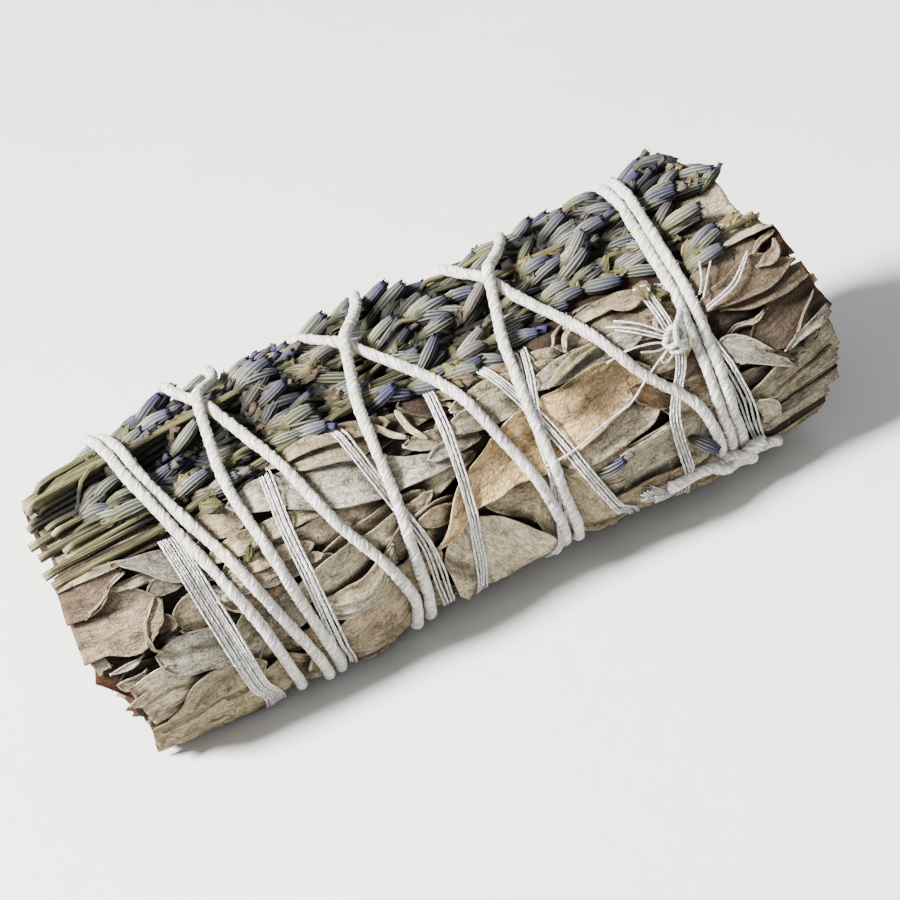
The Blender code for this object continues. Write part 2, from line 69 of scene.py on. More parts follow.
# Angles between which the lavender lies, at the left end
LAVENDER_FRONT = 50
LAVENDER_BACK = 150
# Random values that noise() smooths
LATTICE = np.random.default_rng(5).uniform(-1, 1, (32, 64, 64))


# ------------------------------------------------------------------ places and small sums


def world(x, angle, radius):
    """Points in metres at places on the bundle."""
    x, turn, radius = np.broadcast_arrays(x, np.radians(angle), radius)
    y = CENTRE_Y - radius * np.cos(turn)
    z = AXIS_HEIGHT + radius * np.sin(turn)
    return np.stack([CENTRE_X + x, y, z], -1) * MM


def arc(angle):
    """The distance round the bundle at its mean radius that an angle spans."""
    return np.radians(angle) * RADIUS


def angle_of(arc_length):
    """The angle that a distance round the bundle spans."""
    return np.degrees(arc_length / RADIUS)


def ease(value):
    """0 up to 0, 1 from 1, and a soft step between."""
    t = np.clip(value, 0, 1)
    return t * t * (3 - 2 * t)


def noise(x, y, seed):
    """Smooth random values from -1 to 1 over a plane, one cell of 1 by 1 for each bump."""
    table = LATTICE[seed % len(LATTICE)]
    x, y = np.broadcast_arrays(np.asarray(x, float) + seed * 7.3, np.asarray(y, float) + seed * 3.1)
    i, j = np.floor(x).astype(int), np.floor(y).astype(int)
    fx, fy = ease(x - i), ease(y - j)
    size = len(table)
    near = table[i % size, j % size] * (1 - fx) + table[(i + 1) % size, j % size] * fx
    far = table[i % size, (j + 1) % size] * (1 - fx) + table[(i + 1) % size, (j + 1) % size] * fx
    return near * (1 - fy) + far * fy


def smooth_path(points, step=0.5):
    """Points about a step apart on a smooth curve through the given ones, with rows of any length."""
    knots = np.asarray(points, float)
    spans = np.maximum(np.linalg.norm(np.diff(knots[:, :2], axis=0), axis=1), 1e-6)
    at = np.concatenate([[0], np.cumsum(spans)])
    count = max(3, int(round(at[-1] / step)) + 1)
    return spline(at, knots, np.linspace(0, at[-1], count))


def spline(at, knots, where):
    """A monotone smooth curve through the knots, read at each position."""
    knots = np.asarray(knots, float)
    if knots.ndim == 1:
        return spline(at, knots[:, None], where)[:, 0]
    at = np.asarray(at, float)
    spans = np.diff(at)[:, None]
    steps = np.diff(knots, axis=0) / spans
    slopes = np.zeros_like(knots)
    slopes[0], slopes[-1] = steps[0], steps[-1]
    product = steps[:-1] * steps[1:]
    total = steps[:-1] + steps[1:]
    slopes[1:-1] = np.where(product > 0, 2 * product / np.where(total == 0, 1, total), 0)
    i = np.clip(np.searchsorted(at, where, side="right") - 1, 0, len(at) - 2)
    span = spans[i]
    t = np.clip((np.asarray(where) - at[i])[:, None] / span, 0, 1)
    return (
        (2 * t**3 - 3 * t**2 + 1) * knots[i]
        + (t**3 - 2 * t**2 + t) * span * slopes[i]
        + (3 * t**2 - 2 * t**3) * knots[i + 1]
        + (t**3 - t**2) * span * slopes[i + 1]
    )


def under_lavender(x, angle):
    """1 under the lavender, 0 clear of it, and between them on the slopes at its sides."""
    a = np.asarray(angle) % TURN
    front = LAVENDER_FRONT + 8 * ease((np.asarray(x) + 50) / 38)
    return ease((a - front) / 9) * ease((LAVENDER_BACK - a) / 14)


# The cut ends: half the bundle's length, and how each end bulges, (size, angle, sharpness)
HALF_LENGTH = 55.2
LEFT_BULGES = ((-1.9, 42, 1), (1.9, -35, 2))
RIGHT_BULGES = ((1.8, 18, 1), (-1.6, 100, 2))


def ends_at(angle):
    """Where the leaves are cut off at the bundle's left and right ends, which are not straight."""

    def bulged(rows):
        return sum(size * np.maximum(np.cos(np.radians(angle - at)), 0) ** power for size, at, power in rows)

    return -HALF_LENGTH + bulged(LEFT_BULGES), HALF_LENGTH + bulged(RIGHT_BULGES)


# ------------------------------------------------------------------ the map of the surface

# Size of its cells, how far it reaches to each side along x, and its cells along x and round the bundle
CELL = 0.3
X_REACH = 64.0
COLUMNS = int(2 * X_REACH / CELL)
ROWS = 410


class Surface:
    """The radius of the bundle's outside at every place."""

    def __init__(self, top):
        self.top = np.full((COLUMNS, ROWS), float(top)) if np.isscalar(top) else top.copy()

    def places(self):
        """x and angle of every cell."""
        x = (np.arange(COLUMNS) * CELL - X_REACH)[:, None]
        angle = (np.arange(ROWS) * TURN / ROWS)[None, :]
        return np.broadcast_arrays(x, angle)

    def cover(self, x, angle, radius):
        """Raises the surface to these radii at these places."""
        i = np.clip(np.rint((x + X_REACH) / CELL).astype(int), 0, COLUMNS - 1)
        j = np.rint(np.asarray(angle) / TURN * ROWS).astype(int) % ROWS
        np.maximum.at(self.top, (i.ravel(), j.ravel()), np.asarray(radius).ravel())


def read(field, x, angle):
    """The map's value at places, between its cells."""
    u = np.clip((np.asarray(x) + X_REACH) / CELL, 0, COLUMNS - 1.001)
    v = (np.asarray(angle) % TURN) / TURN * ROWS
    i, j = np.floor(u).astype(int), np.floor(v).astype(int)
    fu, fv = u - i, v - j
    j, k = j % ROWS, (j + 1) % ROWS
    near = field[i, j] * (1 - fu) + field[i + 1, j] * fu
    far = field[i, k] * (1 - fu) + field[i + 1, k] * fu
    return near * (1 - fv) + far * fv


def highest(field, reach):
    """Each cell takes the highest value within this reach."""
    cells = int(round(reach / CELL))
    for axis in (0, 1):
        field = np.max([np.roll(field, k, axis) for k in range(-cells, cells + 1)], axis=0)
    return field


def blurred(field, reach):
    """The map with everything finer than this reach smoothed away."""
    wave_x = np.fft.fftfreq(COLUMNS)[:, None] / CELL
    wave_a = np.fft.rfftfreq(ROWS)[None, :] / CELL
    damping = np.exp(-2 * (math.pi * reach) ** 2 * (wave_x**2 + wave_a**2))
    return np.fft.irfft2(np.fft.rfft2(field) * damping, s=field.shape)


def refined(values):
    """The grid with a value added between every two."""
    for _ in range(2):
        taller = np.empty((2 * len(values) - 1, values.shape[1]))
        taller[::2] = values
        taller[1::2] = (values[:-1] + values[1:]) / 2
        values = taller.T
    return values


# ------------------------------------------------------------------ meshes


def add_mesh(name, points, faces, material):
    """A smooth mesh object of one material, with no point under the floor."""
    points = np.array(points, float)
    points[:, 2] = np.maximum(points[:, 2], 0)
    mesh = bpy.data.meshes.new(name)
    mesh.from_pydata(points.tolist(), [], faces)
    mesh.materials.append(material)
    mesh.shade_smooth()
    obj = bpy.data.objects.new(name, mesh)
    bpy.context.scene.collection.objects.link(obj)
    return obj


def paint(obj, **values):
    """Gives each point its colours and numbers, which the materials read by name."""
    mesh = obj.data
    for name, value in values.items():
        value = np.asarray(value, float)
        if value.ndim == 2:
            layer = mesh.color_attributes.new(name, "FLOAT_COLOR", "POINT")
            layer.data.foreach_set("color", np.hstack([value, np.ones((len(value), 1))]).ravel())
        else:
            layer = mesh.attributes.new(name, "FLOAT", "POINT")
            layer.data.foreach_set("value", value)


def lay_out(obj, uv):
    """Gives each point its own flat coordinates, in centimetres."""
    layer = obj.data.uv_layers.new(name="flat")
    corners = np.empty(len(obj.data.loops), int)
    obj.data.loops.foreach_get("vertex_index", corners)
    layer.data.foreach_set("uv", (uv[corners] / 10).ravel())


def around(sides):
    """The angles of a ring's points, in radians."""
    return np.arange(sides) * 2 * math.pi / sides


def heading_of(degrees):
    """The cosine and the sine of an angle in degrees."""
    return math.cos(math.radians(degrees)), math.sin(math.radians(degrees))


def pairs(first, second):
    """(first, second) at every place of the grid that the two make together."""
    return np.stack(np.broadcast_arrays(first, second), -1)


def grid_faces(rows, columns, closed=False, start=0):
    """The squares of a grid of points, joined round its last column when closed."""
    last = columns if closed else columns - 1
    i, j = np.meshgrid(np.arange(rows - 1), np.arange(last), indexing="ij")
    a = start + i * columns + j
    b = start + i * columns + (j + 1) % columns
    return np.stack([a, b, b + columns, a + columns], -1).reshape(-1, 4).tolist()


def tube_faces(rings, sides):
    """The wall of a tube and its two ends."""
    faces = grid_faces(rings, sides, closed=True)
    faces.append(list(range(sides))[::-1])
    faces.append(list(range((rings - 1) * sides, rings * sides)))
    return faces


def join(parts):
    """Joins (points, faces, *values) parts into one."""
    faces, offset = [], 0
    for points, own, *_ in parts:
        faces += [[i + offset for i in face] for face in own]
        offset += len(points)
    rest = [np.concatenate([p[k] for p in parts]) for k in range(2, len(parts[0]))]
    return np.concatenate([p[0] for p in parts]), faces, *rest


def thick_sheet(outer, skin):
    """A sheet's outside (rows, columns, 3), both odd, and an inside half as fine under it: points, faces."""
    rows, columns = outer.shape[:2]
    normal = np.cross(np.gradient(outer, axis=0), np.gradient(outer, axis=1))
    normal += 1e-8 * (outer - np.array([0, CENTRE_Y, AXIS_HEIGHT]) * MM) * np.array([0, 1, 1])
    normal /= np.linalg.norm(normal, axis=2, keepdims=True)
    inner = (outer - normal * skin * MM)[::2, ::2]
    start, inner_columns = rows * columns, inner.shape[1]
    faces = [face[::-1] for face in grid_faces(rows, columns)]
    faces += grid_faces(len(inner), inner_columns, start=start)
    corners = [(0, j) for j in range(0, columns, 2)] + [(i, columns - 1) for i in range(2, rows, 2)]
    corners += [(rows - 1, j) for j in range(columns - 3, -1, -2)] + [(i, 0) for i in range(rows - 3, -1, -2)]
    for (i, j), (k, m) in zip(corners[:-1], corners[1:]):
        above = [a * columns + b for a, b in ((i, j), ((i + k) // 2, (j + m) // 2), (k, m))]
        below = [start + a // 2 * inner_columns + b // 2 for a, b in ((k, m), (i, j))]
        faces.append(above + below)
    return np.concatenate([outer.reshape(-1, 3), inner.reshape(-1, 3)]), faces


def both(values):
    """Values of a sheet's outside, followed by those of its inside."""
    inside = values[::2, ::2]
    return np.concatenate([values.reshape(-1, *values.shape[2:]), inside.reshape(-1, *values.shape[2:])])


def show(obj, slot, *nodes):
    """Declares a piece: puts it in the root body and hides the CAD's nodes it stands for; slot is not used.
    """
    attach(obj, "root")
    if nodes:
        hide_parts(*nodes)
    return obj


# ------------------------------------------------------------------ materials


class Nodes:
    """A short way to write a material's nodes."""

    def __init__(self, name, roughness, specular=0.25, sheen=0.0):
        self.material = bpy.data.materials.new(name)
        self.material.use_nodes = True
        self.tree = self.material.node_tree
        self.shader = self.tree.nodes["Principled BSDF"]
        self.shader.inputs["Roughness"].default_value = roughness
        self.shader.inputs["Specular IOR Level"].default_value = specular
        self.shader.inputs["Sheen Weight"].default_value = sheen
        self.shader.inputs["Sheen Roughness"].default_value = 0.5

    def add(self, kind, links=(), **settings):
        """A node with its settings, and a value or another node's output for each of its sockets."""
        node = self.tree.nodes.new("ShaderNode" + kind)
        for key, value in settings.items():
            setattr(node, key, value)
        for socket, value in dict(links).items():
            if isinstance(value, bpy.types.NodeSocket):
                self.tree.links.new(value, node.inputs[socket])
            else:
                node.inputs[socket].default_value = value
        return node

    def flat(self, stretch=(1, 1, 1)):
        """The mesh's flat coordinates, stretched."""
        uv = self.add("UVMap", uv_map="flat").outputs["UV"]
        return self.add("Mapping", {"Vector": uv, "Scale": stretch}).outputs["Vector"]

    def value(self, name):
        return self.add("Attribute", attribute_name=name).outputs["Fac"]

    def colour(self, name):
        return self.add("Attribute", attribute_name=name).outputs["Color"]

    def grain(self, vector, scale, detail=3.0, roughness=0.5, distortion=0.0):
        links = {"Vector": vector, "Scale": scale, "Detail": detail}
        links.update({"Roughness": roughness, "Distortion": distortion})
        return self.add("TexNoise", links).outputs["Fac"]

    def cracks(self, vector, scale, width):
        """1 in the cracks between cells and 0 inside them."""
        links = {"Vector": vector, "Scale": scale}
        cells = self.add("TexVoronoi", links, feature="DISTANCE_TO_EDGE").outputs["Distance"]
        return self.ramp(cells, ((0.0, 1), (width, 0)))

    def ramp(self, factor, stops):
        """Stops are (place, colour), and one number stands for a grey."""
        node = self.add("ValToRGB", {"Fac": factor})
        band = node.color_ramp
        while len(band.elements) < len(stops):
            band.elements.new(0.5)
        for element, (at, colour) in zip(band.elements, stops):
            element.position = at
            element.color = (*colour, 1) if isinstance(colour, tuple) else (colour, colour, colour, 1)
        return node.outputs["Color"]

    def maths(self, operation, a, b):
        return self.add("Math", {0: a, 1: b}, operation=operation).outputs[0]

    def mix(self, factor, a, b, blend="MIX"):
        """Colour a, turned into b, or blended with it, by the factor."""
        node = self.add("Mix", data_type="RGBA", blend_type=blend)
        for socket, value in ((0, factor), (6, a), (7, b)):
            if isinstance(value, bpy.types.NodeSocket):
                self.tree.links.new(value, node.inputs[socket])
            else:
                node.inputs[socket].default_value = (*value, 1) if isinstance(value, tuple) else value
        return node.outputs[2]

    def varied(self, colour, factor, *stops):
        """The colour, made lighter and darker as the factor passes the stops."""
        return self.mix(1.0, colour, self.ramp(factor, stops), "MULTIPLY")

    def stained(self, colour, mask, share, stain):
        """The colour with this share of a stain where the mask is 1."""
        return self.mix(self.maths("MULTIPLY", mask, share), colour, stain)

    def finish(self, colour, bumps):
        """bumps are (height, depth in millimetres), added one on another."""
        self.tree.links.new(colour, self.shader.inputs["Base Color"])
        normal = None
        for height, depth in bumps:
            links = {"Height": height, "Distance": depth * MM}
            if normal:
                links["Normal"] = normal
            normal = self.add("Bump", links).outputs["Normal"]
        self.tree.links.new(normal, self.shader.inputs["Normal"])
        return self.material


def leaf_material():
    """Dried white sage: pebbled felt, wrinkles along the leaf, pale rims, torn brown ends, and painted shade
    in its creases, in its recesses and under the lavender.
    """
    n = Nodes("sage_leaf_look", 0.95, specular=0.12)
    flat = n.flat()
    felt = n.grain(flat, 30, 4, 0.75)
    streaks = n.grain(n.flat((1, 3.4, 1)), 5, 5, 0.66)
    uneven = n.ramp(n.grain(flat, 5, 3), ((0.38, 0.12), (0.60, 1)))
    stir = n.add("TexNoise", {"Vector": flat, "Scale": 7, "Detail": 3.0}).outputs["Color"]
    bent = n.add("MixRGB", {"Fac": 0.13, "Color1": flat, "Color2": stir}).outputs["Color"]
    turned = n.add("Mapping", {"Vector": bent, "Scale": (0.75, 2.6, 1), "Rotation": (0, 0, 0.3)})
    turned = turned.outputs["Vector"]
    net = n.maths("MULTIPLY", n.cracks(turned, 8.5, 0.13), uneven)
    pebbles = n.add("TexVoronoi", {"Vector": bent, "Scale": 30}, feature="F1").outputs["Distance"]
    spots = n.ramp(n.grain(flat, 11, 2), ((0.66, 0), (0.74, 1)))
    colour = n.varied(n.colour("tint"), n.grain(flat, 2.2, 4), (0.32, (0.74, 0.72, 0.69)), (0.68, 1.22))
    colour = n.varied(colour, streaks, (0.36, (0.64, 0.62, 0.59)), (0.64, (1.24, 1.24, 1.23)))
    colour = n.varied(colour, felt, (0.32, 0.64), (0.68, 1.24))
    colour = n.varied(colour, pebbles, (0.10, 1.10), (0.75, (0.72, 0.71, 0.69)))
    colour = n.stained(colour, net, 0.80, (0.040, 0.027, 0.018))
    colour = n.stained(colour, spots, 0.35, (0.13, 0.08, 0.045))
    colour = n.stained(colour, n.maths("MULTIPLY", n.value("margin"), uneven), 0.6, (0.50, 0.44, 0.34))
    colour = n.stained(colour, n.maths("MULTIPLY", n.value("torn"), uneven), 0.95, (0.100, 0.054, 0.028))
    # painted shade: darkens the leaf along its creases
    colour = n.stained(colour, n.value("crease"), 0.85, (0.028, 0.018, 0.011))
    # painted shade: towards black where the deep attribute says the leaf lies deep under others or under the
    # lavender
    colour = n.mix(n.value("deep"), colour, (0.010, 0.006, 0.004))
    height = n.maths("SUBTRACT", streaks, n.maths("MULTIPLY", net, 0.25))
    return n.finish(colour, ((height, 0.28), (felt, 0.10), (pebbles, -0.07), (n.value("vein"), 0.12)))


def stem_material():
    """A woody or green stem, striped along."""
    n = Nodes("lavender_stem_look", 0.7)
    stripes = n.grain(n.flat((0.25, 9, 1)), 6, 3)
    colour = n.varied(n.colour("tint"), stripes, (0.42, (0.14, 0.135, 0.10)), (0.60, (1.6, 1.65, 1.6)))
    return n.finish(colour, ((stripes, 0.25), (n.grain(n.flat(), 30, 2), 0.05)))


def flower_material():
    """Calyces: woolly ribs, paler than the grooves between them."""
    n = Nodes("lavender_flower_look", 0.9)
    wool = n.grain(n.flat(), 45, 3, 0.7)
    colour = n.mix(n.maths("POWER", n.value("rib"), 3.2), n.colour("tint"), n.colour("rib_tint"))
    colour = n.varied(colour, wool, (0.3, 0.78), (0.7, 1.18))
    return n.finish(colour, ((wool, 0.08), (n.grain(n.flat((1, 5, 1)), 12, 2), 0.12)))


def bract_material():
    """Papery bracts, veined along."""
    n = Nodes("lavender_bract_look", 0.75)
    veins = n.grain(n.flat((0.6, 5, 1)), 10, 3)
    colour = n.varied(n.colour("tint"), veins, (0.38, 0.45), (0.62, 1.35))
    return n.finish(colour, ((veins, 0.2),))


def cotton_material(name, fibre_scale, groove):
    """Undyed cotton: fibres that follow each ply, painted shade in the grooves between the plies, and a few
    specks.
    """
    n = Nodes(name, 0.95, sheen=0.4)
    fibres = n.grain(n.flat((0.45, 2.4, 1)), fibre_scale, 4, 0.75, 0.6)
    lumps = n.grain(n.flat(), 13, 3)
    specks = n.ramp(n.grain(n.flat(), 26, 1), ((0.73, 0), (0.77, 1)))
    colour = n.varied(n.colour("tint"), fibres, (0.34, (0.34, 0.32, 0.29)), (0.58, 1.05))
    colour = n.varied(colour, lumps, (0.36, (0.55, 0.53, 0.49)), (0.58, 1.04))
    # painted shade: darker in the grooves between the plies, by this share
    colour = n.stained(colour, n.value("groove"), groove, (0.55, 0.51, 0.44))
    colour = n.stained(colour, specks, 0.5, (0.30, 0.22, 0.14))
    return n.finish(colour, ((fibres, 0.40), (lumps, 0.35), (n.grain(n.flat(), 50, 2), 0.05)))


def floor_material():
    """Plain grey-white board with the faintest grain."""
    n = Nodes("floor_look", 0.6)
    place = n.add("TexCoord").outputs["Object"]
    colour = n.ramp(n.grain(place, 14, 4), ((0.3, (0.50, 0.50, 0.49)), (0.7, (0.53, 0.53, 0.52))))
    return n.finish(colour, ((n.grain(place, 160, 3), 0.15),))


LEAF = leaf_material()
STEM = stem_material()
FLOWER = flower_material()
BRACT = bract_material()
TWINE = cotton_material("cotton_twine_look", 11, 0.45)
THREAD = cotton_material("cotton_thread_look", 16, 0.0)

# ------------------------------------------------------------------ leaves

TINTS = {
    "grey": (0.290, 0.262, 0.192),
    "silver": (0.325, 0.308, 0.252),
    "ash": (0.225, 0.214, 0.178),
    "beige": (0.300, 0.250, 0.162),
    "pink": (0.262, 0.210, 0.143),
    "taupe": (0.165, 0.128, 0.085),
    "tan": (0.240, 0.180, 0.112),
    "gold": (0.510, 0.360, 0.190),
    "brown": (0.085, 0.043, 0.023),
    "cream": (0.420, 0.370, 0.265),
    "slate": (0.125, 0.108, 0.086),
    "rust": (0.150, 0.090, 0.050),
    "umber": (0.036, 0.026, 0.018),
    "ember": (0.050, 0.020, 0.010),
    # painted shade: near black, for sheets that stand for shadowed gaps between leaves
    "soot": (0.012, 0.008, 0.006),
    "moss": (0.248, 0.221, 0.157),
    "bark": (0.118, 0.088, 0.060),
    "peat": (0.056, 0.042, 0.029),
    "dove": (0.178, 0.169, 0.141),
    "fawn": (0.205, 0.165, 0.115),
}
# A leaf's thickness, how much wider the broad ones are than in the table, and where their pattern starts
SKIN = 0.24
WIDER = 1.14
PATTERN_START = 40 * LATTICE[2, 28, :2]
sheets = []
# Leaves that stand for the CAD's
CAD_LEAVES = (
    "base_leaf_front base_leaf_middle base_leaf_back leaf_top_left leaf_top_middle leaf_top_front "
    "leaf_top_right leaf_top_back leaf_back_high_left leaf_back_high_right leaf_back_low_left "
    "leaf_back_low_right leaf_back_middle_left leaf_back_middle_right leaf_back_over leaf_left_high "
    "leaf_left_wide leaf_left_bottom leaf_left_low leaf_left_curled leaf_left_pointed leaf_middle_under "
    "leaf_middle_grey leaf_middle_slant leaf_middle_low leaf_low_square leaf_low_round leaf_right_low "
    "leaf_right_middle leaf_right_crumpled leaf_golden leaf_end_bottom leaf_end_low leaf_end_middle "
    "leaf_end_high leaf_end_narrow"
).split()


def spread(knots, count):
    """This many points, evenly spaced, on a smooth curve through the knots, and their distances along it."""
    fine = smooth_path(knots)
    at = np.concatenate([[0], np.cumsum(np.linalg.norm(np.diff(fine[:, :2], axis=0), axis=1))])
    where = np.linspace(0, at[-1], count)
    return np.stack([np.interp(where, at, fine[:, k]) for k in range(fine.shape[1])], -1), where


def taper(distance, width, end):
    """How a leaf's width falls off near one end, as a share of its full width."""
    if end == "cut":
        return np.ones_like(distance)
    if end == "point":
        return np.clip(distance / 1.5, 0.05, 1)
    return np.sqrt(np.clip(1 - (1 - np.clip(distance / (0.55 * width + 0.3), 0, 1)) ** 2, 0.004, 1))


def rolled(across, half, margin):
    """Where a point this far across lands once the leaf's margin is rolled: (across, up)."""
    rho = np.minimum(abs(margin) * 0.34, 0.25 * half) + 1e-6
    turns = 2.7 if margin > 0 else 4.2
    flat = np.maximum(half - rho * turns, 0)
    turn = np.clip((across - flat) / rho, 0, turns)
    moved = np.minimum(across, flat) + rho * np.sin(turn)
    if margin > 0:
        lift = rho * (1 - math.cos(turns)) * ease((across - flat + 3 * rho) / (3 * rho))
        return moved, rho * (np.cos(turn) - 1) + lift
    return moved, rho * (1 - np.cos(turn))


def folds(u, a, seed):
    """Folds that run along a leaf with finer crumples across them, and the sharp creases between them."""
    bend = a + 1.2 * noise(u / 9, a / 6, seed)
    ridges = 0.6 - 2.2 * np.abs(noise(bend / 2.9, u / 22, seed + 1))
    fine = 0.14 * noise(u / 3.2, a / 1.7, seed + 2) + 0.06 * noise(u / 1.3, a / 1.0, seed + 4)
    crease = np.exp(-((noise(bend / 3.6, u / 26, seed + 5) / 0.12) ** 2))
    crease = crease * ease(noise(u / 11, a / 5, seed + 6) + 0.7)
    slight = np.exp(-((noise(bend / 1.9, u / 13, seed + 8) / 0.13) ** 2))
    slight = slight * ease(noise(u / 6, a / 3, seed + 9) + 0.45)
    crease = np.maximum(crease, 0.7 * slight)
    return 0.65 * ridges + fine + 0.55 * noise(u / 13, a / 7, seed + 3), crease


def cut_edge(across, seed):
    """How far the edge of a cut end stands out, at each place across it."""
    waves = ((0.34, 5.6, 3), (0.06, 1.8, 4), (0.03, 0.7, 6))
    return sum(size * noise(across / wave, row, seed) for size, wave, row in waves)


def relaxed(radius, rounds=4):
    """The radii, each drawn towards those beside it."""
    for _ in range(rounds):
        beside = radius[:-2, 1:-1] + radius[2:, 1:-1] + radius[1:-1, :-2] + radius[1:-1, 2:]
        radius[1:-1, 1:-1] = (radius[1:-1, 1:-1] * 2 + beside) / 6
    return radius


def lay_leaf(surface, name, places, ends, margins, crumple, tint, veins, across, step, curl, nodes=()):
    """Lays one leaf on the surface through (x, angle, width) places, and the surface rises over it."""
    seed = len(sheets) * 5 + 1
    knots = np.array([(x, arc(t), w * WIDER if w > 4 else w) for x, t, w in places])
    length = np.linalg.norm(np.diff(knots[:, :2], axis=0), axis=1).sum()
    line, u = spread(knots, max(15, int(length / step) | 1))
    middle, width = line[:, :2], line[:, 2]
    tangent = np.gradient(middle, axis=0)
    tangent /= np.linalg.norm(tangent, axis=1, keepdims=True)

    # the leaf laid flat: u along it and flat_a across, then rolled at its margins and cut at its ends
    half = width / 2 * taper(u, width, ends[0]) * taper(u[-1] - u, width, ends[1])
    half *= 1 + 0.08 * noise(u / 9, 0, seed)
    v = np.sin(np.linspace(-1, 1, across | 1) * math.pi / 2)
    front, back = ((half * (1 + 0.09 * noise(u / 3.1, row, seed)))[:, None] for row in (5, 9))
    side_half = np.where(v < 0, front, back)
    flat_a = v * side_half
    left, right = (rolled(np.abs(flat_a), side_half, margin) for margin in margins)
    a = np.where(v < 0, -left[0], right[0])
    up = np.where(v < 0, left[1], right[1])
    share = u / u[-1]
    flat_u = np.broadcast_to(u[:, None], flat_a.shape).copy()
    for end, near, sign in zip(ends, (share, 1 - share), (-1, 1)):
        if end == "cut":
            flat_u += sign * cut_edge(flat_a, seed) * ease(1 - near * 8)[:, None]
    pull = flat_u - u[:, None]
    x = middle[:, :1] + tangent[:, :1] * pull - tangent[:, 1:] * a
    s = middle[:, 1:] + tangent[:, 1:] * pull + tangent[:, :1] * a
    angle = angle_of(s)

    # how high it lies: a broad leaf is stiff and bridges what is under it, a narrow one follows it
    stiff = float(np.clip(width.max() / 7, 0.1, 1))
    soft = blurred(highest(surface.top, 0.5 + 0.6 * stiff), 0.7 + 1.1 * stiff)
    hard = read(surface.top, x, angle)
    radius = relaxed(np.maximum(read(soft, x, angle), hard))
    calm = np.clip(side_half / 4.0, 0.25, 1)
    midrib = -0.3 * np.exp(-((flat_a / 0.4) ** 2)) * veins
    wrinkle, crease = folds(flat_u, flat_a, seed)
    raised = curl * ease((np.abs(v) - 0.45) / 0.55) * ease(0.75 + noise(u / 7, 0, seed + 7))[:, None]
    relief = crumple * calm * wrinkle + midrib * calm + raised * calm
    skin = SKIN * np.clip(width / 3, 0.2, 1)[:, None]
    radius = np.maximum(radius + relief, hard + 0.6 * skin) + up + skin - 1.1 * crumple * crease * calm
    surface.cover(refined(x), refined(angle), refined(radius))

    # what the material reads: pale margins, torn ends and raised veins
    margin = np.clip((np.abs(v) - 0.90) / 0.10, 0, 1) * np.ones_like(flat_a)
    torn = np.zeros_like(flat_a)
    for end, near in zip(ends, (share, 1 - share)):
        if end == "cut":
            torn = np.maximum(torn, ease(1 - near * u[-1] / 1.7)[:, None] * np.where(x < 0, 1.0, 0.5))
        else:
            margin = np.maximum(margin, ease(1 - near * u[-1] / 0.8)[:, None])
    slant = flat_u / 3.4 - np.abs(flat_a) * 0.55
    side_veins = np.exp(-((((slant + 0.35 * noise(flat_u / 4, flat_a / 3, seed)) % 1 - 0.5) / 0.13) ** 2))
    vein = veins * np.maximum(side_veins * 0.6, np.exp(-((flat_a / 0.3) ** 2)))
    tone = np.array(TINTS[tint]) * (1 + 0.10 * LATTICE[1, seed % 64, 0])
    sheets.append(dict(
        name=name, x=x, angle=angle, radius=radius, u=flat_u, a=flat_a, margin=margin, torn=torn,
        crease=crease * calm, vein=vein, tint=tone, nodes=nodes,
    ))


